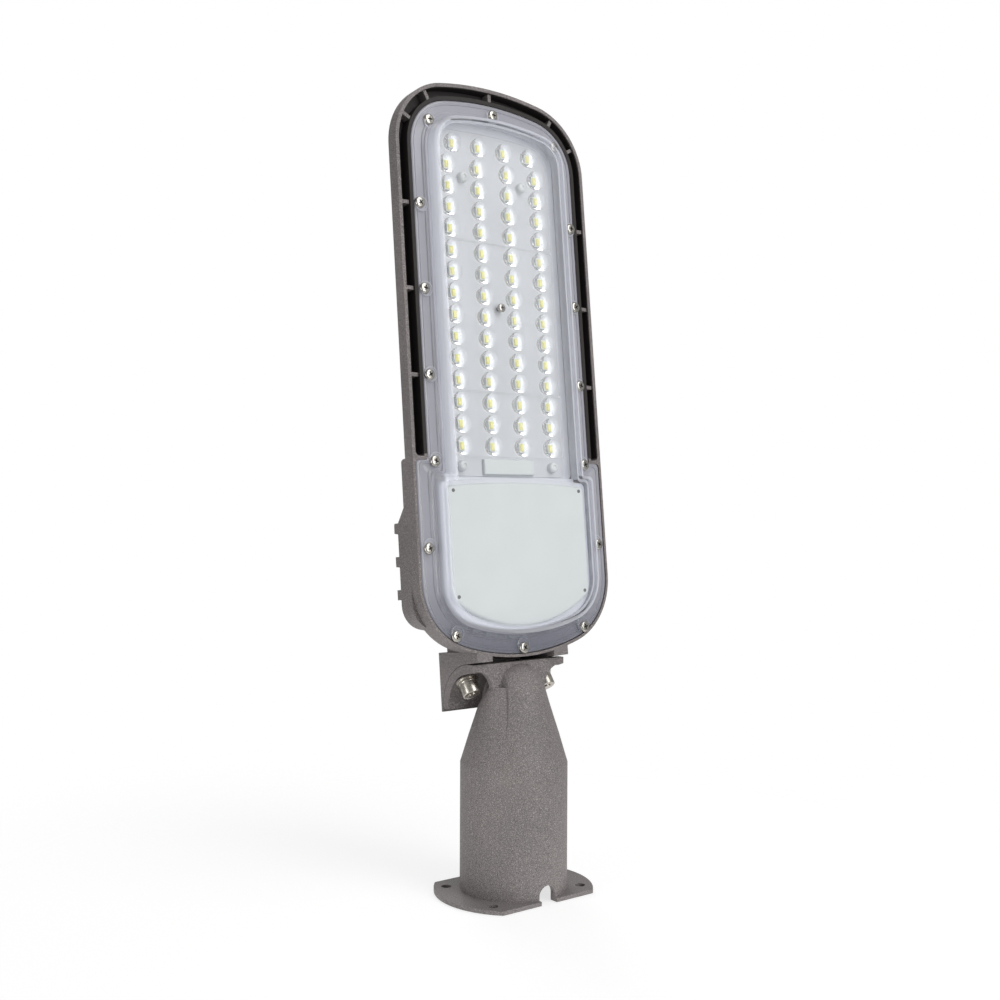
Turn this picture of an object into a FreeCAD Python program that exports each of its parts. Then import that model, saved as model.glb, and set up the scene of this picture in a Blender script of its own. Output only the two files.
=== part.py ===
import FreeCAD, Part
import math
import os

# A street light head on a tilting pole adapter. Millimetres.
# Row frame: +Z up along the pole's axis, +X to the right seen from the light side, the light
# side faces -Y, and the origin is on the pole's axis at the underside of the adapter's flange.
V = FreeCAD.Vector

# Pole adapter
POLE_D = 60.0
SOCKET_GAP = 1.0
ADAPTER_WALL = 4.0
SLEEVE_H = 84.0
SOCKET_DEPTH = 76.0
FLANGE_D = 103.8
FLANGE_T = 2.6
FLANGE_FLAT = 36.8
FLANGE_HOLE_X = 35.8
FLANGE_HOLE_Y = 25.0
FLANGE_HOLE_D = 6.7
NOTCH_W = 12.5
NOTCH_H = 11.3
CABLE_BORE_D = 15.0
CABLE_BORE_Y = 8.0
NECK_SHOULDER_IN = (4.0, 8.0)
NECK_SHOULDER_Z = 102.0
NECK_OVALS = ((25.7, 19.0, 0.0, 121.0), (21.5, 10.5, -2.4, 134.0))
COLUMN_TOP_R = 17.3
COLUMN_TOP_Y = -1.5
COLUMN_TOP_Z = 136.0
COLUMN_FLAT_IN = 6.2
COLUMN_FLAT_MID = 18.0
COLUMN_FLAT_TOP = 12.6
SPINE_HALF_W = 10.5
SPINE_BEND_Z = 100.0
WEB_T = 4.0
WEB_HALF_W = 21.5
WEB_FLARE_R = 13.4
WEB_LOW_Z = 118.0
SET_SCREW_D = 8.0
SET_SCREW_L = 10.0
SET_SCREW_Z = (20.0, 58.0)
SET_SCREW_PAD_D = 15.0
SET_SCREW_PAD = 3.5

# Tilt hinge: the saddle of the adapter is an arc about a line along X
PIVOT_Y = -2.3
PIVOT_Z = 120.6
LEAN = 5.87
SADDLE_HALF_W = 37.5
SADDLE_R_IN = 23.2
SADDLE_R_OUT = 29.0
SEAT_GAP = 0.3
SADDLE_FRONT = -5.5
SADDLE_BOTTOM = 118.4
LIP_T = 4.2
LEAN_MAX = 15.0
BOLT_X = 30.9
BOLT_D = 6.0
BOLT_ANGLE = 60.0
BOLT_LENGTH = 20.0
BOLT_HEAD_D = 10.0
BOLT_HEAD_H = 6.0
SLOT_GAP = 0.4
WASHER_D = 12.0
WASHER_T = 1.6
SPRING_WASHER_D = 11.6
SPRING_WASHER_T = 1.6

# Head, in its own upright frame about the hinge line: s runs up the head from the middle of
# the lamp field, n stands out of the lamp face towards the viewer
FACE_Y = -6.42
FIELD_Z = 260.9
RIM_HALF_W = 78.0
RIM_TOP = 148.2
RIM_TOP_BOW = 223.0
RIM_TOP_R = 45.0
RIM_BOTTOM = -229.4
RIM_BOTTOM_BOW = 151.5
RIM_BOTTOM_R = 45.0
RIM_FRONT = 4.4
RIM_BACK_TOP = -4.2
RIM_BACK_BOTTOM = -8.8
RIM_WALL = 2.4
STEP_S = -100.0
BODY_SIDE_GAP = 8.8
BODY_TOP_DROP = 9.0
COVER_EDGE_GAP = 0.6
LEDGE_N = 0.9
DECK_BACK = -6.2
LAMP_POCKET_HALF_W = 53.0
LAMP_POCKET_TOP = 124.0
LAMP_POCKET_N = -3.0
FIN_COUNT = 9
FIN_PITCH = 14.0
FIN_T = 2.4
FIN_DEPTH = 13.0
DEEP_SIDE_N = -16.5
DEEP_BACK_N = -37.0
DEEP_BACK_HALF_W = 56.0
DEEP_TOP_FRONT = -120.5
DEEP_TOP_SIDE = -136.0
DEEP_TOP_BACK = -139.5
DEEP_BOTTOM = -212.0
DEEP_BOTTOM_BOW = 520.0
DEEP_CORNER_R = 16.0
DEEP_WALL = 3.0
BACK_RIB_S = (-143.8, -164.8, -185.5)
BACK_RIB_T = 6.3
BACK_RIB_PROUD = 4.0
BLOCK_HALF_W = 34.3
BLOCK_BACK_Y = 25.8
CHEEK_TOP = 36.7
CHEEK_BOTTOM = -1.5
CHEEK_BACK_Y = 31.0
CHEEK_INNER = 25.5
CHEEK_FRONT_Y = -11.2
CHEEK_UNDERSIDE = 30.3
GLAND_CEILING = 48.9

# Clear cover and its fasteners
COVER_T = 2.4
COVER_FLANGE_T = 2.5
COVER_SIDE_DROP = 11.4
COVER_DRIVER_SIDE_DROP = 2.4
COVER_TOP_DROP = 11.6
COVER_BOTTOM_DROP = 2.4
PLATEAU_INSET = 12.0
PLATEAU_DRIVER_INSET = 12.5
PLATEAU_N = 14.2
GASKET_T = 1.0
GASKET_W = 3.2
SCREW_D = 4.0
SCREW_GAP = 0.3
SCREW_HEAD_D = 7.4
SCREW_HEAD_H = 2.4
SCREW_LENGTH = 10.0
BOSS_D = 9.0
BOSS_GROWTH = 0.9
CORNER_SCREW_IN = 25.6
CORNER_SCREW_DOWN = 30.8
SIDE_SCREWS_IN = ((15.1, 61.3), (15.3, 6.0), (15.5, -49.1), (16.0, -103.6), (8.0, -158.1))
FOOT_SCREW_IN = 25.1
FOOT_SCREW_UP = 16.3
TOP_SCREW_DOWN = 18.2
BOTTOM_SCREW_UP = 5.8

# Lamp board, chips and lens plates
BOARD_HALF_W = 48.0
BOARD_TOP = 118.0
BOARD_BOTTOM = -112.0
BOARD_T = 1.6
BOARD_R = 16.0
CONNECTOR_HALF_W = 20.6
CONNECTOR_S = (-111.0, -101.0)
CONNECTOR_H = 2.6
PAD_T = 0.6
CHIP = 3.0
CHIP_T = 0.7
COLUMN_PITCH = 24.56
TOP_COLUMN_PITCH = 21.3
ROW_PITCH = 14.24
ROWS = 14
TOP_ROW_S = 107.2
LENS_PLATE_T = 1.8
LENS_RISE = 1.0
LENS_D = 11.6
LENS_TOP_D = 6.0
LENS_H = 4.2
LENS_ROWS = (5, 7, 3)
PLATE_SEAM = 0.4
POSTS = ((24.56, 85.4), (37.5, -105.5))
POST_D = 7.0
POST_H = 3.2

# Driver compartment
TRAY_HALF_W = 56.5
TRAY_TOP = -116.8
TRAY_BOTTOM = -209.6
TRAY_BOW = 92.0
TRAY_R = 9.0
TRAY_N = 9.0
TRAY_T = 1.6
TRAY_PIN_X = 52.0
TRAY_PIN_S = (-122.8, -188.9)
TRAY_PIN_D = 2.2
TRAY_PIN_L = 8.0
TRAY_PIN_HEAD_D = 3.4
TRAY_PIN_HEAD_H = 0.4
TRAY_POST_D = 3.6
LEDGE_REACH = 4.0
DRIVER_L = 84.0
DRIVER_W = 36.0
DRIVER_H = 22.0
DRIVER_S = -178.0
DRIVER_EAR = 7.0
DRIVER_EAR_T = 2.0
TERMINAL_W = 30.0
TERMINAL_D = 14.0
TERMINAL_H = 13.0
GLAND_D = 16.0
GLAND_Y = 12.6
GLAND_HEX = 19.0
GLAND_HEX_H = 5.0
GLAND_NUT_T = 3.4
GLAND_CAP_H = 13.0
GLAND_CAP_D = 17.0
GLAND_CABLE_D = 9.0
GLAND_THREAD = 10.5
VENT_D = 12.0
VENT_H = 3.0
VENT_THREAD_D = 6.0
VENT_X = -40.0
VENT_S = -154.3
EARTH_X = 46.0
EARTH_S = -163.0

# Sizes that follow from those above
SLEEVE_R = POLE_D / 2 + SOCKET_GAP + ADAPTER_WALL
COLUMN_FLAT_LOW = SLEEVE_R - COLUMN_FLAT_IN
BODY_HALF_W = RIM_HALF_W - BODY_SIDE_GAP
COVER_HALF_W = RIM_HALF_W - COVER_SIDE_DROP
COVER_DRIVER_HALF_W = RIM_HALF_W - COVER_DRIVER_SIDE_DROP


def at(x, s, n):
    """Point of the head's frame from across, up and out of the lamp face."""
    return V(x, FACE_Y - n, FIELD_Z + s)


def joined(solids):
    """One solid from several that meet."""
    result = solids[0]
    if len(solids) > 1:
        result = result.fuse(solids[1:])
    return result.removeSplitter()


def mirrored(shape):
    """The same shape on the other side of the head's middle plane."""
    return shape.mirror(V(0, 0, 0), V(1, 0, 0))


def cylinder(radius, start, end):
    """Round bar between two points."""
    axis = end.sub(start)
    return Part.makeCylinder(radius, axis.Length, start, axis)


def box(low, high):
    """Box between two corners."""
    return Part.makeBox(high.x - low.x, high.y - low.y, high.z - low.z, low)


def hexagon(across_flats, start, end):
    """Hexagonal bar between two points."""
    axis = end.sub(start)
    corner = across_flats / math.sqrt(3)
    points = [V(corner * math.cos(k * math.pi / 3), corner * math.sin(k * math.pi / 3), 0)
              for k in range(6)]
    bar = Part.Face(Part.makePolygon(points + [points[0]])).extrude(V(0, 0, axis.Length))
    bar.Placement = FreeCAD.Placement(start, FreeCAD.Rotation(V(0, 0, 1), axis))
    return bar


def plan_wire(half_w, top, top_bow, top_r, bottom, bottom_bow, bottom_r, n):
    """Closed outline of the head's kind: straight sides, bowed ends and round corners, at depth n."""
    def corner(end, bow, r, sign):
        bow_s = end - sign * bow
        corner_x = half_w - r
        corner_s = bow_s + sign * math.sqrt((bow - r) ** 2 - corner_x ** 2)
        reach = bow / (bow - r)
        touch = (corner_x * reach, bow_s + (corner_s - bow_s) * reach)
        turn = math.atan2(sign * (touch[1] - corner_s), touch[0] - corner_x) / 2
        middle = (corner_x + r * math.cos(turn), corner_s + sign * r * math.sin(turn))
        return corner_s, middle, touch
    up_s, up_mid, up_touch = corner(top, top_bow, top_r, 1)
    low_s, low_mid, low_touch = corner(bottom, bottom_bow, bottom_r, -1)

    def arc(a, b, c):
        return Part.Arc(at(a[0], a[1], n), at(b[0], b[1], n), at(c[0], c[1], n)).toShape()

    def left(p):
        return (-p[0], p[1])
    right_low = (half_w, low_s)
    right_up = (half_w, up_s)
    edges = [
        Part.makeLine(at(half_w, low_s, n), at(half_w, up_s, n)),
        arc(right_up, up_mid, up_touch),
        arc(up_touch, (0, top), left(up_touch)),
        arc(left(up_touch), left(up_mid), left(right_up)),
        Part.makeLine(at(-half_w, up_s, n), at(-half_w, low_s, n)),
        arc(left(right_low), left(low_mid), left(low_touch)),
        arc(left(low_touch), (0, bottom), low_touch),
        arc(low_touch, low_mid, right_low),
    ]
    return Part.Wire(edges)


def slab(wire_of_n, front, back):
    """Solid of one outline between two depths."""
    return Part.Face(wire_of_n(front)).extrude(V(0, front - back, 0))


def lofted(wires):
    """Solid through several outlines, with flat flanks between them."""
    return Part.makeLoft(wires, True, True)


def head_plan(half_w, top_drop, bottom, bottom_drop, top=None):
    """Outline function that follows the rim, set in at the sides and the ends."""
    inset = RIM_HALF_W - half_w
    upper = RIM_TOP if top is None else top
    upper_r = max(RIM_TOP_R - inset, 3.0) if top is None else 3.0
    upper_bow = RIM_TOP_BOW - top_drop if top is None else 4000.0
    lower_r = max(RIM_BOTTOM_R - max(bottom_drop, inset), 3.0) if bottom is None else 3.0
    lower_bow = RIM_BOTTOM_BOW - bottom_drop if bottom is None else 4000.0
    lower = RIM_BOTTOM + bottom_drop if bottom is None else bottom

    def wire(n):
        return plan_wire(half_w, upper - top_drop, upper_bow, upper_r, lower, lower_bow, lower_r, n)
    return wire


def stepped(lamp_half_w, lamp_top_drop, driver_half_w, bottom_drop, step, front, back):
    """Solid of a stepped outline: the lamp part is narrower than the driver part below it."""
    lamp = slab(head_plan(lamp_half_w, lamp_top_drop, step - 40.0, 0.0), front, back)
    driver = slab(head_plan(driver_half_w, 0.0, None, bottom_drop, top=step), front, back)
    return joined([lamp, driver])


def screw_places():
    """Across and up of every cover screw, measured in from the rim."""
    right = [(RIM_HALF_W - CORNER_SCREW_IN, RIM_TOP - CORNER_SCREW_DOWN)]
    right += [(RIM_HALF_W - inset, s) for inset, s in SIDE_SCREWS_IN]
    right.append((RIM_HALF_W - FOOT_SCREW_IN, RIM_BOTTOM + FOOT_SCREW_UP))
    places = [(0.0, RIM_TOP - TOP_SCREW_DOWN)]
    for x, s in right:
        places += [(-x, s), (x, s)]
    return places + [(0.0, RIM_BOTTOM + BOTTOM_SCREW_UP)]


def deep_loft(inset):
    """Deep driver body, or its cavity when set in by the wall."""
    def section(half_w, top, n):
        return plan_wire(half_w - inset, top - inset, 4000.0, 6.0, DEEP_BOTTOM + inset,
                         DEEP_BOTTOM_BOW - inset,
                         DEEP_CORNER_R - inset, n)
    side_n = DEEP_SIDE_N if inset == 0 else DEEP_SIDE_N + 0.4 * inset
    back_n = DEEP_BACK_N + inset
    front_n = LEDGE_N if inset else RIM_BACK_TOP
    return lofted([
        section(RIM_HALF_W, DEEP_TOP_FRONT, front_n),
        section(RIM_HALF_W, DEEP_TOP_SIDE, side_n),
        section(DEEP_BACK_HALF_W, DEEP_TOP_BACK, back_n),
    ])


def back_ribs():
    """Three bands across the deep body that stand proud of its back."""
    proud = deep_loft(0)
    proud.translate(V(0, BACK_RIB_PROUD, 0))
    ribs = []
    for s in BACK_RIB_S:
        low = at(-2 * RIM_HALF_W, s - BACK_RIB_T / 2, DEEP_SIDE_N / 2)
        high = at(2 * RIM_HALF_W, s + BACK_RIB_T / 2, 2 * DEEP_BACK_N)
        ribs.append(proud.common(box(low, high)))
    return ribs


def lamp_fins():
    """Cooling fins up the back of the lamp deck, lower towards the top of the head."""
    fins = []
    for k in range(FIN_COUNT):
        x = (k - (FIN_COUNT - 1) / 2) * FIN_PITCH
        top = RIM_TOP - BODY_TOP_DROP - 4.0 - x * x / (RIM_TOP_BOW * 0.55)
        root = DECK_BACK + 1
        outline = [(DEEP_TOP_FRONT - 6, root), (top, root), (top - 3, DECK_BACK - 4),
                   (top - 40, DECK_BACK - FIN_DEPTH),
                   (DEEP_TOP_FRONT - 22, DECK_BACK - FIN_DEPTH)]
        corners = [at(x - FIN_T / 2, s, n) for s, n in outline]
        fins.append(Part.Face(Part.makePolygon(corners + [corners[0]])).extrude(V(FIN_T, 0, 0)))
    return fins


def bolt_line(side, radius, angle=BOLT_ANGLE):
    """Point on a clamp bolt's axis, at a distance from the hinge line, in the head's frame."""
    turn = math.radians(angle)
    return V(side * BOLT_X, radius * math.cos(turn), radius * math.sin(turn))


def seat_radius():
    return SADDLE_R_OUT + SEAT_GAP


def cheek_block():
    """Foot of the head: two cheeks that sit on the adapter's saddle, and the block above them."""
    seat = seat_radius()
    outline = [(CHEEK_FRONT_Y, CHEEK_UNDERSIDE), (0, seat + 0.05), (0, seat - 6), (seat - 8, CHEEK_BOTTOM),
               (CHEEK_BACK_Y, CHEEK_BOTTOM), (CHEEK_BACK_Y, CHEEK_TOP), (CHEEK_FRONT_Y, CHEEK_TOP)]
    corners = [V(-SADDLE_HALF_W, y, z) for y, z in outline]
    cheeks = Part.Face(Part.makePolygon(corners + [corners[0]])).extrude(V(2 * SADDLE_HALF_W, 0, 0))
    cheeks = cheeks.cut(Part.makeCylinder(seat, 4 * SADDLE_HALF_W, V(-2 * SADDLE_HALF_W, 0, 0), V(1, 0, 0)))
    top = FIELD_Z + DEEP_BOTTOM + 8
    block = box(V(-BLOCK_HALF_W, CHEEK_FRONT_Y + 1.2, CHEEK_TOP - 1), V(BLOCK_HALF_W, BLOCK_BACK_Y, top))
    foot = joined([cheeks, block])
    room = box(V(-CHEEK_INNER, CHEEK_FRONT_Y - 5, CHEEK_BOTTOM - 5),
               V(CHEEK_INNER, BLOCK_BACK_Y - DEEP_WALL, CHEEK_UNDERSIDE + 3.5))
    gland_room = box(V(-CHEEK_INNER, FACE_Y - RIM_BACK_BOTTOM - 2, CHEEK_BOTTOM),
                     V(CHEEK_INNER, BLOCK_BACK_Y, GLAND_CEILING))
    foot = foot.cut(joined([room, gland_room]))
    back_wall = box(V(-BLOCK_HALF_W, BLOCK_BACK_Y - DEEP_WALL, CHEEK_UNDERSIDE + 2),
                    V(BLOCK_HALF_W, BLOCK_BACK_Y, top))
    return joined([foot, back_wall])


def gap_ribs():
    """Short webs that carry the open rim on the lamp body, one at each side screw and corner."""
    webs = []
    inner = BODY_HALF_W - 3
    outer = RIM_HALF_W - RIM_WALL / 2
    for _, s in SIDE_SCREWS_IN[:3]:
        web = box(at(inner, s - 1.2, RIM_FRONT - 1.5), at(outer, s + 1.2, RIM_BACK_TOP))
        webs += [web, mirrored(web)]
    for angle in (28.0, 62.0):
        turn = math.radians(angle)
        hub_s = RIM_TOP - RIM_TOP_R - 3.5
        hub_x = RIM_HALF_W - RIM_TOP_R
        web = box(at(RIM_TOP_R - 13, -1.2, RIM_FRONT - 1.5), at(RIM_TOP_R - 1, 1.2, RIM_BACK_TOP))
        web.translate(at(0, 0, 0).multiply(-1))
        web.rotate(V(0, 0, 0), V(0, 1, 0), -math.degrees(turn))
        web.translate(at(hub_x, hub_s, 0))
        webs += [web, mirrored(web)]
    top_web = box(at(-1.2, RIM_TOP - 12, RIM_FRONT - 1.5), at(1.2, RIM_TOP - 1, RIM_BACK_TOP))
    return webs + [top_web]


def head_housing():
    """Die-cast housing: open rim round the lamp body, finned deck, deep driver body and foot."""
    step = STEP_S
    skirt = slab(head_plan(RIM_HALF_W, 0, step - 10, 0), RIM_FRONT, RIM_BACK_TOP)
    skirt = skirt.cut(slab(head_plan(RIM_HALF_W - RIM_WALL, RIM_WALL, step - 1, 0), RIM_FRONT + 1,
                           RIM_BACK_TOP - 1))
    body = slab(head_plan(BODY_HALF_W, BODY_TOP_DROP, step - 10, 0), RIM_FRONT, DECK_BACK)
    rim = slab(head_plan(RIM_HALF_W, 0, None, 0, top=step), RIM_FRONT, RIM_BACK_BOTTOM)
    housing = joined([skirt, body, rim, deep_loft(0), cheek_block()] + gap_ribs() + back_ribs()
                     + lamp_fins())
    bosses = [cylinder(BOSS_D / 2, at(x, s, DECK_BACK + 2), at(x, s, DECK_BACK - 3))
              for x, s in screw_places()]
    housing = joined([housing] + bosses)
    cover_room = stepped(COVER_HALF_W + COVER_EDGE_GAP, COVER_TOP_DROP - COVER_EDGE_GAP,
                         COVER_DRIVER_HALF_W + COVER_EDGE_GAP, COVER_BOTTOM_DROP - COVER_EDGE_GAP,
                         STEP_S - 2, RIM_FRONT + 1, LEDGE_N)
    housing = housing.cut(cover_room)
    lamp_pocket = slab(head_plan(LAMP_POCKET_HALF_W, RIM_TOP - LAMP_POCKET_TOP, BOARD_BOTTOM - 1.5, 0),
                       LEDGE_N + 1, LAMP_POCKET_N)
    housing = housing.cut(lamp_pocket)
    cavity = deep_loft(DEEP_WALL)
    keep = joined([cylinder(BOSS_D / 2 + BOSS_GROWTH, at(x, s, LEDGE_N + 1), at(x, s, DECK_BACK - 6))
                   for x, s in screw_places()])
    ledge = slab(head_plan(RIM_HALF_W, 0, None, 0, top=step), LEDGE_N, DECK_BACK)
    opening = Part.Face(tray_wire(TRAY_T + LEDGE_REACH, LEDGE_N + 1)).extrude(V(0, LEDGE_N + 2 - DECK_BACK,
                                                                                0))
    housing = housing.cut(cavity.cut(keep).cut(ledge.cut(opening)))
    pin_posts = [cylinder(TRAY_POST_D / 2, at(x, s, TRAY_N - TRAY_T), at(x, s, DECK_BACK))
                 for x, s in tray_pins()]
    housing = joined([housing] + pin_posts)
    return housing.cut(Part.makeCompound(housing_holes()))


def housing_holes():
    """Holes for screws, bolts, the gland and the vent, and the wire channel below the lamp board."""
    holes = [cylinder(SCREW_D / 2, at(x, s, LEDGE_N + 1), at(x, s, RIM_FRONT - SCREW_LENGTH))
             for x, s in screw_places()]
    for side in (-1, 1):
        holes.append(cylinder(BOLT_D / 2, bolt_line(side, SADDLE_R_OUT - 4),
                              bolt_line(side, bolt_tip_radius() + 1)))
    holes.append(cylinder(GLAND_D / 2, V(0, GLAND_Y, GLAND_CEILING - 1),
                          V(0, GLAND_Y, GLAND_CEILING + 2 * DEEP_WALL)))
    holes.append(cylinder(VENT_THREAD_D / 2, at(VENT_X, VENT_S, DEEP_BACK_N - 1),
                          at(VENT_X, VENT_S, DEEP_BACK_N + 5)))
    holes.append(box(at(-6, DEEP_TOP_FRONT - 10, LAMP_POCKET_N + 1.8),
                     at(6, BOARD_BOTTOM + 3, LAMP_POCKET_N - 1.2)))
    holes += [cylinder(TRAY_PIN_D / 2, at(x, s, TRAY_N), at(x, s, TRAY_N - TRAY_PIN_L - 0.5))
              for x, s in tray_pins()]
    holes += [cylinder(1.5, at(0, 0, LAMP_POCKET_N + 1), at(0, 0, LAMP_POCKET_N - 4))]
    holes += [cylinder(2.0, at(x, s, DEEP_BACK_N + DEEP_WALL + 1), at(x, s, DEEP_BACK_N + 0.8))
              for x, s in back_screws()]
    return holes


def back_screws():
    """Across and up of the screws in the deep body's back wall: two for the driver, one for the earth wire."""
    ear_x = DRIVER_L / 2 + DRIVER_EAR / 2
    return [(-ear_x, DRIVER_S), (ear_x, DRIVER_S), (EARTH_X, EARTH_S)]


def bolt_tip_radius():
    return washer_face() - WASHER_T - SPRING_WASHER_T + BOLT_LENGTH


def washer_face():
    """Distance from the hinge line to the flat washer's outer face: its edges ride on the saddle's hollow."""
    return math.sqrt(SADDLE_R_IN ** 2 - (WASHER_D / 2) ** 2) - SEAT_GAP


def clamp_bolts():
    """Hexagon socket screws that clamp the head's cheeks through the saddle's slots."""
    bolts = []
    under_head = washer_face() - WASHER_T - SPRING_WASHER_T
    for side in (-1, 1):
        head = cylinder(BOLT_HEAD_D / 2, bolt_line(side, under_head - BOLT_HEAD_H),
                        bolt_line(side, under_head))
        shank = cylinder(BOLT_D / 2, bolt_line(side, under_head - 1),
                         bolt_line(side, under_head + BOLT_LENGTH))
        socket = hexagon(5.0, bolt_line(side, under_head - BOLT_HEAD_H - 1),
                         bolt_line(side, under_head - BOLT_HEAD_H / 2))
        bolts.append(joined([head, shank]).cut(socket))
    return bolts


def ring(outer, inner, start, end):
    return cylinder(outer / 2, start, end).cut(cylinder(inner / 2, start, end))


def flat_washers():
    face = washer_face()
    return [ring(WASHER_D, BOLT_D, bolt_line(side, face - WASHER_T), bolt_line(side, face))
            for side in (-1, 1)]


def spring_washers():
    face = washer_face() - WASHER_T
    return [ring(SPRING_WASHER_D, BOLT_D, bolt_line(side, face - SPRING_WASHER_T), bolt_line(side, face))
            for side in (-1, 1)]


def clear_cover():
    """Clear moulding: flat flange under the screws and a raised field over the lamps and the driver."""
    back = LEDGE_N + GASKET_T
    front = back + COVER_FLANGE_T
    flange = stepped(COVER_HALF_W, COVER_TOP_DROP, COVER_DRIVER_HALF_W, COVER_BOTTOM_DROP,
                     STEP_S - 2 - COVER_EDGE_GAP, front, back)
    lamp_w = COVER_HALF_W - PLATEAU_INSET
    lamp_drop = COVER_TOP_DROP + PLATEAU_INSET
    driver_w = COVER_DRIVER_HALF_W - PLATEAU_DRIVER_INSET
    driver_drop = COVER_BOTTOM_DROP + PLATEAU_DRIVER_INSET
    outer = stepped(lamp_w, lamp_drop, driver_w, driver_drop, STEP_S - 12, PLATEAU_N, back)
    inner = stepped(lamp_w - COVER_T, lamp_drop + COVER_T, driver_w - COVER_T, driver_drop + COVER_T,
                    STEP_S - 12 - COVER_T, PLATEAU_N - COVER_T, back - 1)
    cover = joined([flange, outer]).cut(inner)
    holes = [cylinder(SCREW_D / 2 + SCREW_GAP, at(x, s, front + 1), at(x, s, back - 1))
             for x, s in screw_places()]
    return cover.cut(Part.makeCompound(holes))


def cover_gasket():
    """Flat seal between the cover's flange and the housing's ledge, inside the screws."""
    front = LEDGE_N + GASKET_T
    lamp_w = COVER_HALF_W - PLATEAU_INSET + GASKET_W
    lamp_drop = COVER_TOP_DROP + PLATEAU_INSET - GASKET_W
    driver_w = COVER_DRIVER_HALF_W - PLATEAU_DRIVER_INSET + GASKET_W
    driver_drop = COVER_BOTTOM_DROP + PLATEAU_DRIVER_INSET - GASKET_W
    step = STEP_S - 12 + GASKET_W
    outer = stepped(lamp_w, lamp_drop, driver_w, driver_drop, step, front, LEDGE_N)
    inner = stepped(lamp_w - GASKET_W, lamp_drop + GASKET_W, driver_w - GASKET_W, driver_drop + GASKET_W,
                    step - GASKET_W, front + 1, LEDGE_N - 1)
    notches = [cylinder(SCREW_D / 2 + SCREW_GAP, at(x, s, front + 1), at(x, s, LEDGE_N - 1))
               for x, s in screw_places()]
    return outer.cut(inner).cut(Part.makeCompound(notches))


def pan_screw(x, s, under_head, length, diameter, head_d, head_h):
    """Round-headed screw whose head stands out of the lamp face."""
    head = cylinder(head_d / 2, at(x, s, under_head), at(x, s, under_head + head_h))
    rim = [e for e in head.Edges if abs(e.BoundBox.YMin - (FACE_Y - under_head - head_h)) < 1e-6 and e.BoundBox.YLength < 1e-6]
    head = head.makeChamfer(head_h * 0.4, rim)
    shank = cylinder(diameter / 2, at(x, s, under_head + 0.5), at(x, s, under_head - length))
    return joined([head, shank])


def cover_screws():
    front = LEDGE_N + GASKET_T + COVER_FLANGE_T
    reach = front - (RIM_FRONT - SCREW_LENGTH) - 0.4
    return [pan_screw(x, s, front, reach, SCREW_D, SCREW_HEAD_D, SCREW_HEAD_H) for x, s in screw_places()]


def lamp_places():
    """Across and up of every chip: a closer pair of columns in the top row, then even rows."""
    places = [((k - 1.5) * TOP_COLUMN_PITCH, TOP_ROW_S) for k in range(4)]
    for row in range(ROWS):
        s = ((ROWS - 1) / 2 - row) * ROW_PITCH
        places += [((k - 1.5) * COLUMN_PITCH, s) for k in range(4)]
    return places


def board_plan(inset, bottom):
    def wire(n):
        return plan_wire(BOARD_HALF_W - inset, BOARD_TOP - inset, 400.0, BOARD_R - inset, bottom, 4000.0,
                         3.0, n)
    return wire


def led_board():
    front = LAMP_POCKET_N + PAD_T + BOARD_T
    board = slab(board_plan(0, BOARD_BOTTOM), front, front - BOARD_T)
    return board.cut(cylinder(1.6, at(0, 0, front + 1), at(0, 0, front - 3)))


def board_connector():
    """Flat plug strip across the foot of the lamp board."""
    low_s, high_s = CONNECTOR_S
    base = board_front()
    strip = box(at(-CONNECTOR_HALF_W, low_s, base + CONNECTOR_H), at(CONNECTOR_HALF_W, high_s, base))
    edges = [e for e in strip.Edges if e.BoundBox.YLength < 1e-6 and e.BoundBox.YMin < FACE_Y - base - 1]
    return strip.makeFillet(0.8, edges)


def thermal_pad():
    back = LAMP_POCKET_N
    pad = slab(board_plan(1.0, BOARD_BOTTOM + 1), back + PAD_T, back)
    return pad.cut(cylinder(1.6, at(0, 0, back + 2), at(0, 0, back - 1)))


def board_front():
    return LAMP_POCKET_N + PAD_T + BOARD_T


def led_chips():
    base = board_front()
    return [box(at(x - CHIP / 2, s - CHIP / 2, base + CHIP_T), at(x + CHIP / 2, s + CHIP / 2, base))
            for x, s in lamp_places()]


def lens_dome(x, s):
    """Lens over one chip, as a short cone."""
    base = board_front() + LENS_RISE + LENS_PLATE_T - 0.3
    return Part.makeCone(LENS_D / 2, LENS_TOP_D / 2, LENS_H, at(x, s, base), V(0, -1, 0))


def lens_plate(first, count):
    """One clear lens plate over a run of rows, on a low wall that stands on the board."""
    places = lamp_places()
    rows = [places[4 * r:4 * r + 4] for r in range(first, first + count)]
    top = rows[0][0][1] + ROW_PITCH / 2 - PLATE_SEAM / 2
    if first == 0:
        top = BOARD_TOP - 0.8
    bottom = rows[-1][0][1] - ROW_PITCH / 2 + PLATE_SEAM / 2
    base = board_front()
    front = base + LENS_RISE + LENS_PLATE_T
    half_w = BOARD_HALF_W - 0.8

    def outline(inset):
        def wire(n):
            r = BOARD_R - inset if first == 0 else 1.5
            bow = 400.0 if first == 0 else 4000.0
            return plan_wire(half_w - inset, top - inset, bow, r, bottom + inset, 4000.0, 1.5, n)
        return wire
    plate = slab(outline(0), front, base)
    plate = plate.cut(slab(outline(1.2), base + LENS_RISE, base - 1))
    plate = joined([plate] + [lens_dome(x, s) for row in rows for x, s in row])
    holes = [cylinder(1.7, at(0, 0, front + 1), at(0, 0, base - 1))]
    for x, s in POSTS:
        holes += [cylinder(POST_D / 2 + 0.1, at(side * x, s, front + 1), at(side * x, s, base - 1))
                  for side in (-1, 1)]
    return plate.cut(Part.makeCompound(holes))


def board_posts():
    """White snap posts that hold the lens plates and the board down."""
    base = board_front()
    return [cylinder(POST_D / 2, at(side * x, s, base), at(side * x, s, base + POST_H))
            for x, s in POSTS for side in (-1, 1)]


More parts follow.
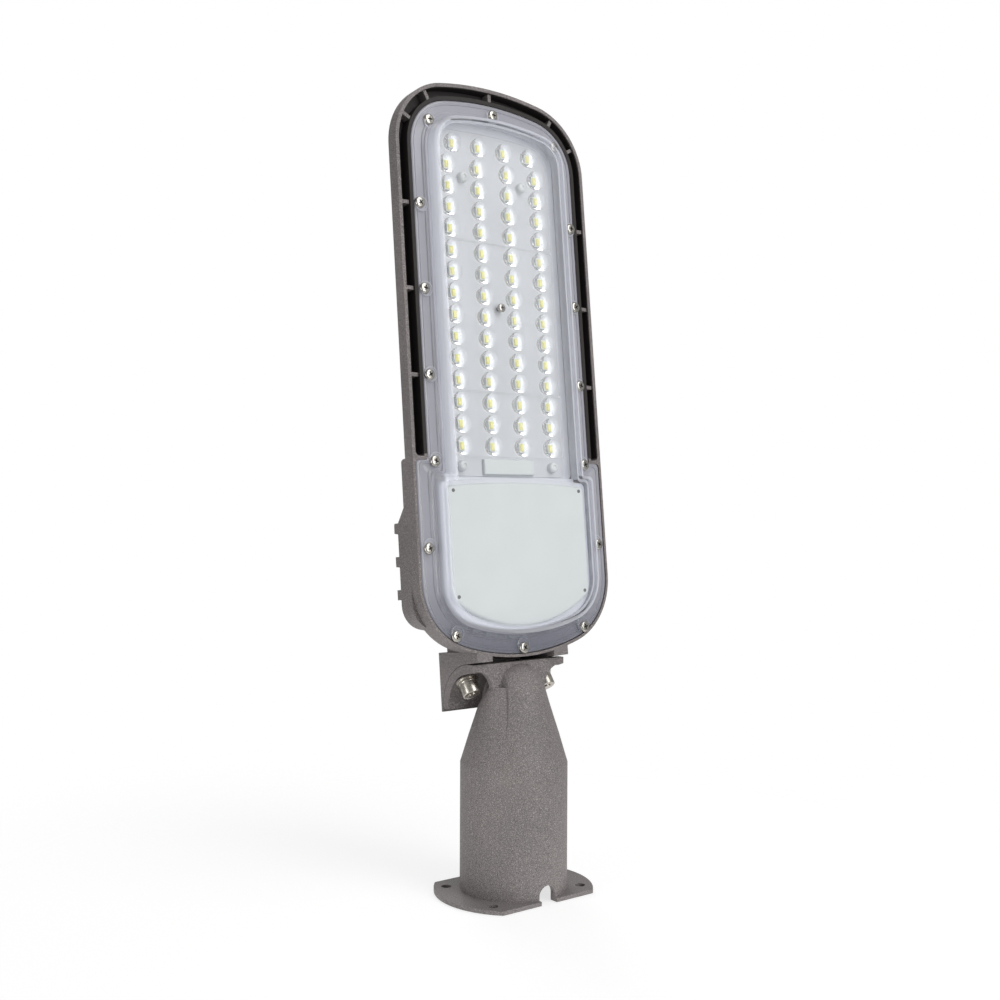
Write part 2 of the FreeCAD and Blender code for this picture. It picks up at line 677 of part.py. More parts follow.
def centre_screw():
    front = board_front() + LENS_RISE + LENS_PLATE_T
    return pan_screw(0, 0, front, front - LAMP_POCKET_N + 2.5, 3.0, 6.0, 2.0)


def tray_wire(inset, n):
    return plan_wire(TRAY_HALF_W - inset, TRAY_TOP - inset, 600.0, 4.0, TRAY_BOTTOM + inset,
                     TRAY_BOW - inset, TRAY_R - inset, n)


def driver_cover():
    """White moulded cover over the driver: a shallow tray that stands on the housing's ledge."""
    foot = LEDGE_N
    tray = lofted([tray_wire(-1.0, foot), tray_wire(0, TRAY_N)])
    hollow = lofted([tray_wire(TRAY_T - 1.0, foot - 0.01), tray_wire(TRAY_T, TRAY_N - TRAY_T)])
    holes = [cylinder(TRAY_PIN_D / 2, at(x, s, TRAY_N + 1), at(x, s, foot)) for x, s in tray_pins()]
    return tray.cut(hollow).cut(Part.makeCompound(holes))


def tray_pins():
    return [(side * TRAY_PIN_X, s) for side in (-1, 1) for s in TRAY_PIN_S]


def driver_cover_pins():
    pins = []
    for x, s in tray_pins():
        shank = cylinder(TRAY_PIN_D / 2, at(x, s, TRAY_N + 0.2), at(x, s, TRAY_N - TRAY_PIN_L))
        pins.append(joined([shank, cylinder(TRAY_PIN_HEAD_D / 2, at(x, s, TRAY_N),
                                            at(x, s, TRAY_N + TRAY_PIN_HEAD_H))]))
    return pins


def driver_floor():
    return DEEP_BACK_N + DEEP_WALL


def driver():
    """Sealed power unit on the deep body's back wall, with a screw ear at each end."""
    floor = driver_floor()
    low_s = DRIVER_S - DRIVER_W / 2
    high_s = DRIVER_S + DRIVER_W / 2
    case = box(at(-DRIVER_L / 2, low_s, floor + DRIVER_H), at(DRIVER_L / 2, high_s, floor))
    upright = [e for e in case.Edges if e.BoundBox.YLength > DRIVER_H / 2]
    case = case.makeFillet(3.0, upright)
    ear = box(at(-DRIVER_L / 2 - DRIVER_EAR, DRIVER_S - 6, floor + DRIVER_EAR_T),
              at(DRIVER_L / 2 + DRIVER_EAR, DRIVER_S + 6, floor))
    holes = [cylinder(2.2, at(x, s, floor + 5), at(x, s, floor - 1)) for x, s in back_screws()[:2]]
    return joined([case, ear]).cut(Part.makeCompound(holes))


def inner_screw(x, s, under_head):
    return pan_screw(x, s, under_head, under_head - DEEP_BACK_N - 1.2, 4.0, 7.0, 2.4)


def terminal_block():
    """Three-way terminal block on the driver's face."""
    base = driver_floor() + DRIVER_H
    block = box(at(-TERMINAL_W / 2, DRIVER_S - TERMINAL_D / 2, base + TERMINAL_H),
                at(TERMINAL_W / 2, DRIVER_S + TERMINAL_D / 2, base))
    cuts = []
    for k in (-1, 0, 1):
        x = k * TERMINAL_W / 3
        cuts.append(cylinder(2.2, at(x, DRIVER_S, base + TERMINAL_H + 1),
                             at(x, DRIVER_S, base + TERMINAL_H - 4)))
        cuts.append(cylinder(2.4, at(x, DRIVER_S - TERMINAL_D, base + 4),
                             at(x, DRIVER_S - TERMINAL_D / 2 + 5, base + 4)))
    return block.cut(Part.makeCompound(cuts))


def terminal_screws():
    base = driver_floor() + DRIVER_H + TERMINAL_H - 4
    return [cylinder(2.0, at(k * TERMINAL_W / 3, DRIVER_S, base),
                     at(k * TERMINAL_W / 3, DRIVER_S, base + 2.5)) for k in (-1, 0, 1)]


def gland_body():
    """Threaded cable gland with its hexagon under the driver compartment's floor."""
    under = V(0, GLAND_Y, GLAND_CEILING - GLAND_HEX_H)
    ceiling = V(0, GLAND_Y, GLAND_CEILING)
    body = joined([hexagon(GLAND_HEX, under, ceiling),
                   cylinder(GLAND_D / 2, ceiling.sub(V(0, 0, 1)), ceiling.add(V(0, 0, GLAND_THREAD)))])
    return body.cut(cylinder(GLAND_CABLE_D / 2, under.sub(V(0, 0, 1)),
                             ceiling.add(V(0, 0, GLAND_THREAD + 1))))


def gland_cap():
    """Domed nut that closes on the cable's seal."""
    top = V(0, GLAND_Y, GLAND_CEILING - GLAND_HEX_H)
    low = top.sub(V(0, 0, GLAND_CAP_H))
    cap = hexagon(GLAND_HEX - 1, top.sub(V(0, 0, GLAND_CAP_H * 0.6)), top)
    dome = Part.makeCone(GLAND_CAP_D / 2 - 2.5, GLAND_CAP_D / 2 + 0.5, GLAND_CAP_H * 0.4, low, V(0, 0, 1))
    return joined([cap, dome]).cut(cylinder(GLAND_CABLE_D / 2 + 1.2, low.sub(V(0, 0, 1)),
                                            top.add(V(0, 0, 1))))


def gland_seal():
    """Rubber sleeve in the gland, with the cable's bore through it."""
    top = V(0, GLAND_Y, GLAND_CEILING - GLAND_HEX_H)
    low = top.sub(V(0, 0, GLAND_CAP_H - 1.5))
    return cylinder(GLAND_CABLE_D / 2 + 1.2, low, top).cut(cylinder(GLAND_CABLE_D / 2 - 1.0,
                                                                    low.sub(V(0, 0, 1)),
                                                                    top.add(V(0, 0, 1))))


def gland_nut():
    """Thin nut on the gland's thread inside the compartment."""
    seat = V(0, GLAND_Y, GLAND_CEILING + DEEP_WALL + 0.2)
    nut = hexagon(GLAND_HEX, seat, seat.add(V(0, 0, GLAND_NUT_T)))
    return nut.cut(cylinder(GLAND_D / 2, seat.sub(V(0, 0, 1)), seat.add(V(0, 0, GLAND_NUT_T + 1))))


def breather_vent():
    """Round pressure vent screwed into the back wall between two of the bands."""
    face = at(VENT_X, VENT_S, DEEP_BACK_N)
    out = V(0, 1, 0)
    cap = cylinder(VENT_D / 2, face, face.add(out * VENT_H))
    rim = [e for e in cap.Edges if abs(e.BoundBox.YMin - face.y - VENT_H) < 1e-6 and e.BoundBox.YLength < 1e-6]
    cap = cap.makeChamfer(0.8, rim)
    return joined([cap, cylinder(VENT_THREAD_D / 2, face.sub(out * 4), face.add(out))])


def oval(half_w, half_d, mid_y, z):
    """Level oval outline, wide across or wide in depth."""
    centre = V(0, mid_y, z)
    if half_w > half_d:
        curve = Part.Ellipse(centre.add(V(half_w, 0, 0)), centre.add(V(0, half_d, 0)), centre)
    else:
        curve = Part.Circle(centre, V(0, 0, 1), half_w)
    return Part.Wire(curve.toShape())


def neck():
    """Oval neck that narrows from the sleeve to the hinge."""
    foot = oval(SLEEVE_R, SLEEVE_R, 0, SLEEVE_H)
    shoulder = oval(SLEEVE_R - NECK_SHOULDER_IN[0], SLEEVE_R - NECK_SHOULDER_IN[1], 0, NECK_SHOULDER_Z)
    return lofted([foot, shoulder] + [oval(w, d, y, z) for w, d, y, z in NECK_OVALS])


def column():
    """Round column in front of the neck: a cone with a domed top, cut flat and hollow on both sides."""
    low = oval(SLEEVE_R, SLEEVE_R, 0, SLEEVE_H)
    high = oval(COLUMN_TOP_R, COLUMN_TOP_R, COLUMN_TOP_Y, COLUMN_TOP_Z)
    slope = (SLEEVE_R - COLUMN_TOP_R) / (COLUMN_TOP_Z - SLEEVE_H)
    dome_r = COLUMN_TOP_R * math.sqrt(1 + slope ** 2)
    dome_z = COLUMN_TOP_Z - COLUMN_TOP_R * slope
    dome = Part.makeSphere(dome_r, V(0, COLUMN_TOP_Y, dome_z))
    dome = dome.common(box(V(-dome_r, COLUMN_TOP_Y - dome_r, COLUMN_TOP_Z - 0.01),
                           V(dome_r, COLUMN_TOP_Y + dome_r, dome_z + dome_r)))
    return lofted([low, high]).fuse(dome).cut(column_flats(dome_z + dome_r + 1))


def column_flats(top):
    """What the column's two hollow side flats take away, as seen from the front."""
    low = SLEEVE_H - 1
    middle = V(COLUMN_FLAT_MID, 0, (low + top) / 2)
    arc = Part.Arc(V(COLUMN_FLAT_LOW, 0, low), middle, V(COLUMN_FLAT_TOP, 0, top)).toShape()
    far = 2 * COLUMN_FLAT_LOW
    sides = Part.makePolygon([V(COLUMN_FLAT_TOP, 0, top), V(far, 0, top), V(far, 0, low),
                              V(COLUMN_FLAT_LOW, 0, low)])
    cutter = Part.Face(Part.Wire([arc] + sides.Edges)).extrude(V(0, 2 * far, 0))
    cutter.translate(V(0, -far, 0))
    return cutter.fuse(mirrored(cutter))


def on_hinge(radius, degrees):
    """Point across the saddle's section, from its distance and angle about the hinge line."""
    turn = math.radians(degrees)
    return V(-SADDLE_HALF_W, PIVOT_Y + radius * math.cos(turn), PIVOT_Z + radius * math.sin(turn))


def saddle():
    """Arc plate that the head's cheeks ride on, flat at its front lip, with a slot at each bolt."""
    low_out = math.degrees(math.asin((SADDLE_BOTTOM - PIVOT_Z) / SADDLE_R_OUT))
    low_in = math.degrees(math.asin((SADDLE_BOTTOM - PIVOT_Z) / SADDLE_R_IN))
    top_z = PIVOT_Z + SADDLE_R_OUT
    lip_top = V(-SADDLE_HALF_W, SADDLE_FRONT, top_z)
    lip_low = V(-SADDLE_HALF_W, SADDLE_FRONT, top_z - LIP_T)
    edges = [
        Part.makeLine(lip_low, lip_top),
        Part.makeLine(lip_top, on_hinge(SADDLE_R_OUT, 90)),
        Part.Arc(on_hinge(SADDLE_R_OUT, 90), on_hinge(SADDLE_R_OUT, 45),
                 on_hinge(SADDLE_R_OUT, low_out)).toShape(),
        Part.makeLine(on_hinge(SADDLE_R_OUT, low_out), on_hinge(SADDLE_R_IN, low_in)),
        Part.Arc(on_hinge(SADDLE_R_IN, low_in), on_hinge(SADDLE_R_IN, 45),
                 on_hinge(SADDLE_R_IN, 86)).toShape(),
        Part.makeLine(on_hinge(SADDLE_R_IN, 86), lip_low),
    ]
    plate = Part.Face(Part.Wire(edges)).extrude(V(2 * SADDLE_HALF_W, 0, 0))
    return plate.cut(Part.makeCompound([bolt_slot(-1), bolt_slot(1)]))


def bolt_slot(side):
    """Round-ended slot through the saddle, as long as the tilt needs."""
    half = BOLT_D / 2 + SLOT_GAP
    near = SADDLE_R_IN - 6
    far = SADDLE_R_OUT + 4
    low = BOLT_ANGLE - LEAN_MAX
    ends = [cylinder(half, bolt_line(side, near, a), bolt_line(side, far, a)) for a in (low, BOLT_ANGLE)]
    across = V(half, 0, 0)
    corners = [bolt_line(side, near, low).sub(across), bolt_line(side, far, low).sub(across),
               bolt_line(side, far, low).add(across), bolt_line(side, near, low).add(across)]
    sweep = Part.Face(Part.makePolygon(corners + [corners[0]])).revolve(V(0, 0, 0), V(1, 0, 0), LEAN_MAX)
    slot = joined(ends + [sweep])
    slot.translate(V(0, PIVOT_Y, PIVOT_Z))
    return slot


def spine():
    """Web behind the neck that carries the back of the saddle."""
    mid_r = (SADDLE_R_IN + SADDLE_R_OUT) / 2
    rim = [on_hinge(mid_r, a) for a in (-4, 20, 45, 70, 92)]
    foot_z = SLEEVE_H - 4
    profile = [(PIVOT_Y, foot_z), (POLE_D / 2 + 2, foot_z), (POLE_D / 2 + 2, SLEEVE_H),
               (rim[0].y, SPINE_BEND_Z)]
    profile += [(p.y, p.z) for p in rim]
    corners = [V(-SPINE_HALF_W, y, z) for y, z in profile]
    return Part.Face(Part.makePolygon(corners + [corners[0]])).extrude(V(2 * SPINE_HALF_W, 0, 0))


def web():
    """Flat web across the hinge line that flares in two hollow arcs to the ends of the saddle's lip."""
    top = PIVOT_Z + SADDLE_R_OUT - LIP_T
    low = top - WEB_FLARE_R
    reach = WEB_HALF_W + WEB_FLARE_R
    turn = math.radians(45)
    arc_x = reach - WEB_FLARE_R * math.cos(turn)
    arc_z = low + WEB_FLARE_R * math.sin(turn)
    y = SADDLE_FRONT
    right = Part.Arc(V(WEB_HALF_W, y, low), V(arc_x, y, arc_z), V(reach, y, top)).toShape()
    left = Part.Arc(V(-WEB_HALF_W, y, low), V(-arc_x, y, arc_z), V(-reach, y, top)).toShape()
    upper = Part.makePolygon([V(reach, y, top), V(reach, y, top + 1), V(-reach, y, top + 1),
                              V(-reach, y, top)])
    lower = Part.makePolygon([V(-WEB_HALF_W, y, low), V(-WEB_HALF_W, y, WEB_LOW_Z),
                              V(WEB_HALF_W, y, WEB_LOW_Z), V(WEB_HALF_W, y, low)])
    outline = Part.Wire([right] + upper.Edges + [left] + lower.Edges)
    return Part.Face(outline).extrude(V(0, WEB_T, 0))


def pole_adapter():
    """Cast pole adapter: foot flange, pole sleeve, neck, domed column and saddle, all one piece."""
    flange = Part.makeCylinder(FLANGE_D / 2, FLANGE_T)
    flange = flange.common(box(V(-FLANGE_D, -FLANGE_FLAT, -1), V(FLANGE_D, FLANGE_FLAT, FLANGE_T + 1)))
    sleeve = Part.makeCylinder(SLEEVE_R, SLEEVE_H)
    pads = [cylinder(SET_SCREW_PAD_D / 2, V(0, SLEEVE_R - 3, z), V(0, SLEEVE_R + SET_SCREW_PAD, z))
            for z in SET_SCREW_Z]
    adapter = joined([sleeve, flange, neck(), column(), web(), saddle(), spine()] + pads)
    cuts = [Part.makeCylinder(POLE_D / 2 + SOCKET_GAP, SOCKET_DEPTH + 1, V(0, 0, -1))]
    bore_top = PIVOT_Z + SADDLE_R_OUT + 2
    cuts.append(cylinder(CABLE_BORE_D / 2, V(0, CABLE_BORE_Y, SOCKET_DEPTH - 1),
                         V(0, CABLE_BORE_Y, bore_top)))
    cuts += [cylinder(SET_SCREW_D / 2, V(0, POLE_D / 2 - 3, z), V(0, SLEEVE_R + SET_SCREW_PAD + 1, z))
             for z in SET_SCREW_Z]
    for x in (-FLANGE_HOLE_X, FLANGE_HOLE_X):
        for y in (-FLANGE_HOLE_Y, FLANGE_HOLE_Y):
            cuts.append(Part.makeCylinder(FLANGE_HOLE_D / 2, FLANGE_T + 2, V(x, y, -1)))
    cuts.append(cable_notch())
    return adapter.cut(Part.makeCompound(cuts))


def cable_notch():
    """Round-topped opening through the front of the flange and the sleeve, for a cable laid along a bracket."""
    reach = V(0, FLANGE_D, 0)
    front = V(0, -FLANGE_D, 0)
    straight = box(V(-NOTCH_W / 2, -FLANGE_D, -1), V(NOTCH_W / 2, 0, NOTCH_H - NOTCH_W / 2))
    round_top = cylinder(NOTCH_W / 2, front.add(V(0, 0, NOTCH_H - NOTCH_W / 2)),
                         front.add(reach).add(V(0, 0, NOTCH_H - NOTCH_W / 2)))
    return straight.fuse(round_top)


def pole_set_screws():
    """Socket set screws behind the sleeve, turned back flush with the bore."""
    screws = []
    tip = POLE_D / 2 + SOCKET_GAP + 0.2
    for z in SET_SCREW_Z:
        bar = cylinder(SET_SCREW_D / 2, V(0, tip, z), V(0, tip + SET_SCREW_L, z))
        screws.append(bar.cut(hexagon(4.0, V(0, tip + SET_SCREW_L - 4, z), V(0, tip + SET_SCREW_L + 1, z))))
    return screws


def in_row(shape):
    """Turns a shape of the head back by the lean and sets it on the hinge line."""
    placed = shape.copy()
    placed.rotate(V(0, 0, 0), V(1, 0, 0), -LEAN)
    placed.translate(V(0, PIVOT_Y, PIVOT_Z))
    return placed


def save(name, shapes):
    """Writes one node as one file."""
    solids = []
    for shape in shapes:
        solids += shape.Solids
    shape = solids[0] if len(solids) == 1 else Part.makeCompound(solids)
    shape.exportStep("parts/%s.step" % name)
    print(name, len(solids), "solids", round(sum(s.Volume for s in solids) / 1000, 2), "cm3",
          "valid" if all(s.isValid() for s in solids) else "NOT VALID")


os.makedirs("parts", exist_ok=True)
save("head_housing", [in_row(head_housing())])
save("clear_cover", [in_row(clear_cover())])
save("cover_gasket", [in_row(cover_gasket())])
save("cover_screws", [in_row(s) for s in cover_screws()])
save("led_board", [in_row(led_board())])
save("thermal_pad", [in_row(thermal_pad())])
save("led_chips", [in_row(s) for s in led_chips()])
first = 0
for name, count in zip(("lens_plate_upper", "lens_plate_middle", "lens_plate_lower"), LENS_ROWS):
    save(name, [in_row(lens_plate(first, count))])
    first += count
save("board_posts", [in_row(s) for s in board_posts()])
save("board_centre_screw", [in_row(centre_screw())])
save("board_connector", [in_row(board_connector())])
save("driver_cover", [in_row(driver_cover())])
save("driver_cover_pins", [in_row(s) for s in driver_cover_pins()])
save("driver", [in_row(driver())])
driver_seats = back_screws()
save("driver_screws", [in_row(inner_screw(x, s, driver_floor() + DRIVER_EAR_T))
                       for x, s in driver_seats[:2]])
save("earth_screw", [in_row(inner_screw(EARTH_X, EARTH_S, driver_floor()))])
save("terminal_block", [in_row(terminal_block())])
save("terminal_screws", [in_row(s) for s in terminal_screws()])
save("gland_body", [in_row(gland_body())])
save("gland_cap", [in_row(gland_cap())])
save("gland_seal", [in_row(gland_seal())])
save("gland_nut", [in_row(gland_nut())])
save("breather_vent", [in_row(breather_vent())])
save("clamp_bolts", [in_row(s) for s in clamp_bolts()])
save("flat_washers", [in_row(s) for s in flat_washers()])
save("spring_washers", [in_row(s) for s in spring_washers()])
save("pole_adapter", [pole_adapter()])
save("pole_set_screws", pole_set_screws())
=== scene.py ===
# %% [markdown]
# A street light head on its pole adapter. The shapes that carry and fasten come as a fixed frame, so
# this file adds the looks: a camera where the photographer stood, soft studio light, one finish
# for each material, and new meshes for the lenses, whose smooth domes the frame only stands in for.

# %% Load the frame
import math
import bmesh
import bpy
from mathutils import Matrix, Vector


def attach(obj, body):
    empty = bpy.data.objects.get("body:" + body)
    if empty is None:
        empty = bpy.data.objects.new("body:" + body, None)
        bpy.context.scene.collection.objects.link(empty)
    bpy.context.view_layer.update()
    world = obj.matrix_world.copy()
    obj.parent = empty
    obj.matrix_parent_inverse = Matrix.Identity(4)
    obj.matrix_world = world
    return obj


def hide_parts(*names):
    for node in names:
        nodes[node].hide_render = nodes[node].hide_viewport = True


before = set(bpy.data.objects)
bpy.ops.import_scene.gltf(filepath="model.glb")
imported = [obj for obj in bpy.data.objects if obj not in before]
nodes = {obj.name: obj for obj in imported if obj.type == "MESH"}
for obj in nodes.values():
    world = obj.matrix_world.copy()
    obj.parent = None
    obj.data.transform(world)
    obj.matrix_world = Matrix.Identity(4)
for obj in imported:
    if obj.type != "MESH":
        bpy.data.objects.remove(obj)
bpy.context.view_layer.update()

# %% [markdown]
# The camera. A product photograph is taken from a few steps away with a mild telephoto lens. The
# place and the direction were worked out from the round flange, its holes and the head's screws, so
# the same edges meet in the picture. A sensor 36 mm wide gives the lens in millimetres.

# %% Camera
CAMERA_AT = Vector((-0.50621, -0.63774, 0.25539))
CAMERA_RIGHT = Vector((0.79064, -0.61227, 0.00436))
CAMERA_UP = Vector((-0.00246, 0.00395, 0.99999))
CAMERA_LENS = 44.95


def make_camera():
    data = bpy.data.cameras.new("camera")
    data.lens = CAMERA_LENS
    data.sensor_width = 36.0
    data.clip_start = 0.01
    camera = bpy.data.objects.new("camera", data)
    bpy.context.scene.collection.objects.link(camera)
    right = CAMERA_RIGHT.normalized()
    back = right.cross(CAMERA_UP).normalized()
    up = back.cross(right)
    turn = Matrix((right, up, back)).transposed().to_4x4()
    camera.matrix_world = Matrix.Translation(CAMERA_AT) @ turn
    bpy.context.scene.camera = camera
    return camera


camera = make_camera()
print("camera", [round(v, 3) for v in camera.location], "lens", CAMERA_LENS)

# %% [markdown]
# Node trees. Every finish here is a small network: noise on Object coordinates drives colour,
# roughness and bump. Two helpers keep the cells short, one that adds a node and sets its sockets,
# and one that starts a material with its output and its main shader.


# %% Helpers for finishes
def add_node(tree, kind, **values):
    node = tree.nodes.new(kind)
    for key, value in values.items():
        if hasattr(node, key):
            setattr(node, key, value)
        else:
            node.inputs[key.replace("_", " ")].default_value = value
    return node


def start_material(name, colour, roughness, metallic=0.0):
    material = bpy.data.materials.new(name)
    material.use_nodes = True
    tree = material.node_tree
    shader = tree.nodes["Principled BSDF"]
    shader.inputs["Base Color"].default_value = (*colour, 1.0)
    shader.inputs["Roughness"].default_value = roughness
    shader.inputs["Metallic"].default_value = metallic
    return material, tree, shader


def object_noise(tree, scale, detail=2.0, roughness=0.5):
    place = add_node(tree, "ShaderNodeTexCoord")
    noise = add_node(tree, "ShaderNodeTexNoise", Scale=scale, Detail=detail, Roughness=roughness)
    tree.links.new(place.outputs["Object"], noise.inputs["Vector"])
    return noise


def colour_ramp(tree, source, stops):
    ramp = add_node(tree, "ShaderNodeValToRGB")
    ramp.color_ramp.elements.remove(ramp.color_ramp.elements[1])
    for index, (place, colour) in enumerate(stops):
        stop = ramp.color_ramp.elements[0] if index == 0 else ramp.color_ramp.elements.new(place)
        stop.position = place
        stop.color = (*colour, 1.0)
    tree.links.new(source, ramp.inputs["Fac"])
    return ramp


def add_bump(tree, shader, height, strength, distance):
    bump = add_node(tree, "ShaderNodeBump", Strength=strength, Distance=distance)
    tree.links.new(height, bump.inputs["Height"])
    tree.links.new(bump.outputs["Normal"], shader.inputs["Normal"])


print("helpers ready")

# %% [markdown]
# Powder coat. The casting is sprayed with a textured powder, a warm grey with light and dark
# flecks, and it has a fine orange-peel grain. Fine noise through a ramp gives the flecks, a slow
# noise shifts the tone a little, and the same fine noise as bump makes the grain catch the light.


# %% Powder coat
FLECK_SCALE = 1900.0
GRAIN_SCALE = 900.0
TONE_SCALE = 24.0


def powder_coat():
    dark, middle, light = (0.045, 0.040, 0.039), (0.192, 0.174, 0.172), (0.52, 0.48, 0.47)
    material, tree, shader = start_material("powder_coat", middle, 0.6)
    flecks = object_noise(tree, FLECK_SCALE, detail=2.0, roughness=0.7)
    stops = [(0.30, dark), (0.46, middle), (0.54, middle), (0.72, light)]
    ramp = colour_ramp(tree, flecks.outputs["Fac"], stops)
    tone = object_noise(tree, TONE_SCALE)
    shade = colour_ramp(tree, tone.outputs["Fac"], [(0.3, (0.90, 0.90, 0.90)), (0.7, (1.08, 1.07, 1.06))])
    mix = add_node(tree, "ShaderNodeMix", data_type="RGBA", blend_type="MULTIPLY")
    mix.inputs["Factor"].default_value = 1.0
    tree.links.new(ramp.outputs["Color"], mix.inputs[6])
    tree.links.new(shade.outputs["Color"], mix.inputs[7])
    tree.links.new(mix.outputs[2], shader.inputs["Base Color"])
    grain = object_noise(tree, GRAIN_SCALE, detail=2.0)
    add_bump(tree, shader, grain.outputs["Fac"], 0.5, 0.0004)
    shader.inputs["Specular IOR Level"].default_value = 0.45
    return material


COAT = powder_coat()
print("finish", COAT.name)

# %% [markdown]
# Clear moulding. The cover is a water-clear plastic some two millimetres thick. Real refraction
# through it would need many more light paths, and hides the lamps behind noise, so the finish
# lets most light straight through and adds a faint lavender body and a gloss that grows at
# grazing angles, as it does on the real moulding's flanks.


# %% Clear plastic
def clear_plastic(name, body, gloss, tint, haze):
    material, tree, shader = start_material(name, body, gloss)
    shader.inputs["Coat Weight"].default_value = 0.6
    shader.inputs["Coat Roughness"].default_value = 0.04
    clear = add_node(tree, "ShaderNodeBsdfTransparent")
    clear.inputs["Color"].default_value = (*tint, 1.0)
    facing = add_node(tree, "ShaderNodeLayerWeight")
    facing.inputs["Blend"].default_value = 0.35
    amount = add_node(tree, "ShaderNodeMapRange")
    amount.inputs["To Min"].default_value = haze[0]
    amount.inputs["To Max"].default_value = haze[1]
    mix = add_node(tree, "ShaderNodeMixShader")
    tree.links.new(facing.outputs["Facing"], amount.inputs["Value"])
    tree.links.new(amount.outputs["Result"], mix.inputs["Fac"])
    tree.links.new(clear.outputs["BSDF"], mix.inputs[1])
    tree.links.new(shader.outputs["BSDF"], mix.inputs[2])
    tree.links.new(mix.outputs["Shader"], tree.nodes["Material Output"].inputs["Surface"])
    return material


def shade_by_height(material, low_colour, high_colour, low, high):
    """Painted shade: let a clear finish grow darker towards the foot of the head, where less light runs
    inside it.
    """
    tree = material.node_tree
    place = add_node(tree, "ShaderNodeTexCoord")
    split = add_node(tree, "ShaderNodeSeparateXYZ")
    height = add_node(tree, "ShaderNodeMapRange")
    height.inputs["From Min"].default_value = low
    height.inputs["From Max"].default_value = high
    tree.links.new(place.outputs["Object"], split.inputs["Vector"])
    tree.links.new(split.outputs["Z"], height.inputs["Value"])
    ramp = colour_ramp(tree, height.outputs["Result"], [(0.0, low_colour), (1.0, high_colour)])
    tree.links.new(ramp.outputs["Color"], tree.nodes["Principled BSDF"].inputs["Base Color"])


def dome_glass():
    """Clear lens that bends what shows through it, but lets the lamps' light in without a shadow."""
    material, tree, shader = start_material("lens_dome_plastic", (0.97, 0.975, 0.98), 0.03)
    shader.inputs["Transmission Weight"].default_value = 1.0
    shader.inputs["IOR"].default_value = 1.45
    ripple = object_noise(tree, 500.0, detail=1.0)
    add_bump(tree, shader, ripple.outputs["Fac"], 0.06, 0.0002)
    clear = add_node(tree, "ShaderNodeBsdfTransparent")
    path = add_node(tree, "ShaderNodeLightPath")
    mix = add_node(tree, "ShaderNodeMixShader")
    tree.links.new(path.outputs["Is Shadow Ray"], mix.inputs["Fac"])
    tree.links.new(shader.outputs["BSDF"], mix.inputs[1])
    tree.links.new(clear.outputs["BSDF"], mix.inputs[2])
    tree.links.new(mix.outputs["Shader"], tree.nodes["Material Output"].inputs["Surface"])
    return material


BORDER_HIGH, BORDER_SHADED = (0.60, 0.60, 0.66), (0.26, 0.27, 0.32)
PAD_HIGH, PAD_SHADED = (0.70, 0.71, 0.75), (0.34, 0.35, 0.40)
SHADE_FROM, SHADE_TO = 0.155, 0.210
COVER_EDGE = clear_plastic("cover_border_plastic", BORDER_HIGH, 0.16, (0.96, 0.96, 0.98), (0.42, 0.85))
COVER_WALL = clear_plastic("cover_wall_plastic", (0.90, 0.92, 0.98), 0.10, (0.98, 0.98, 1.0), (0.28, 0.72))
COVER_FIELD = clear_plastic("cover_field_plastic", (0.80, 0.82, 0.86), 0.08, (1.0, 1.0, 1.0), (0.01, 0.30))
COVER_PAD = clear_plastic("cover_pad_plastic", PAD_HIGH, 0.25, (0.97, 0.97, 0.99), (0.35, 0.8))
LENS_SHEET = clear_plastic("lens_sheet_plastic", (0.85, 0.86, 0.88), 0.15, (1.0, 1.0, 1.0), (0.02, 0.5))
LENS_DOME = dome_glass()
# The border and the pads get painted shade, darker towards the foot of the head.
shade_by_height(COVER_EDGE, BORDER_SHADED, BORDER_HIGH, SHADE_FROM, SHADE_TO)
shade_by_height(COVER_PAD, PAD_SHADED, PAD_HIGH, SHADE_FROM, SHADE_TO)
print("clear finishes ready")

# %% [markdown]
# Plain finishes. The metals, the plastics, the rubbers, the lamp board's white lacquer and the
# yellow chips each get a slow colour change and a little roughness change, so that no surface is
# one flat colour.


# %% Plain finishes
FINE_SHARE = 12


def plain_finish(name, colour, roughness, metallic=0.0, scale=120.0, spread=0.08, bump=0.15):
    material, tree, shader = start_material(name, colour, roughness, metallic)
    noise = object_noise(tree, scale, detail=3.0)
    low = tuple(c * (1 - spread) for c in colour)
    high = tuple(min(c * (1 + spread), 1.0) for c in colour)
    ramp = colour_ramp(tree, noise.outputs["Fac"], [(0.35, low), (0.65, high)])
    tree.links.new(ramp.outputs["Color"], shader.inputs["Base Color"])
    rough = add_node(tree, "ShaderNodeMapRange")
    rough.inputs["To Min"].default_value = roughness * 0.8
    rough.inputs["To Max"].default_value = min(roughness * 1.2, 1.0)
    tree.links.new(noise.outputs["Fac"], rough.inputs["Value"])
    tree.links.new(rough.outputs["Result"], shader.inputs["Roughness"])
    if bump:
        fine = object_noise(tree, scale * FINE_SHARE, detail=2.0)
        add_bump(tree, shader, fine.outputs["Fac"], bump, 0.0001)
    return material


STEEL = plain_finish("stainless", (0.52, 0.50, 0.46), 0.24, metallic=1.0, scale=300.0)
PLATED = plain_finish("plated_brass", (0.72, 0.68, 0.58), 0.2, metallic=1.0, scale=300.0)
BRASS = plain_finish("plain_brass", (0.70, 0.50, 0.22), 0.3, metallic=1.0, scale=300.0)
WHITE = plain_finish("white_plastic", (0.71, 0.75, 0.75), 0.42, scale=40.0, spread=0.015, bump=0.08)
BOARD = plain_finish("board_lacquer", (0.67, 0.69, 0.72), 0.36, scale=30.0, spread=0.02, bump=0.05)
CHIP = plain_finish("chip_phosphor", (0.80, 0.76, 0.28), 0.4, scale=800.0, spread=0.10)
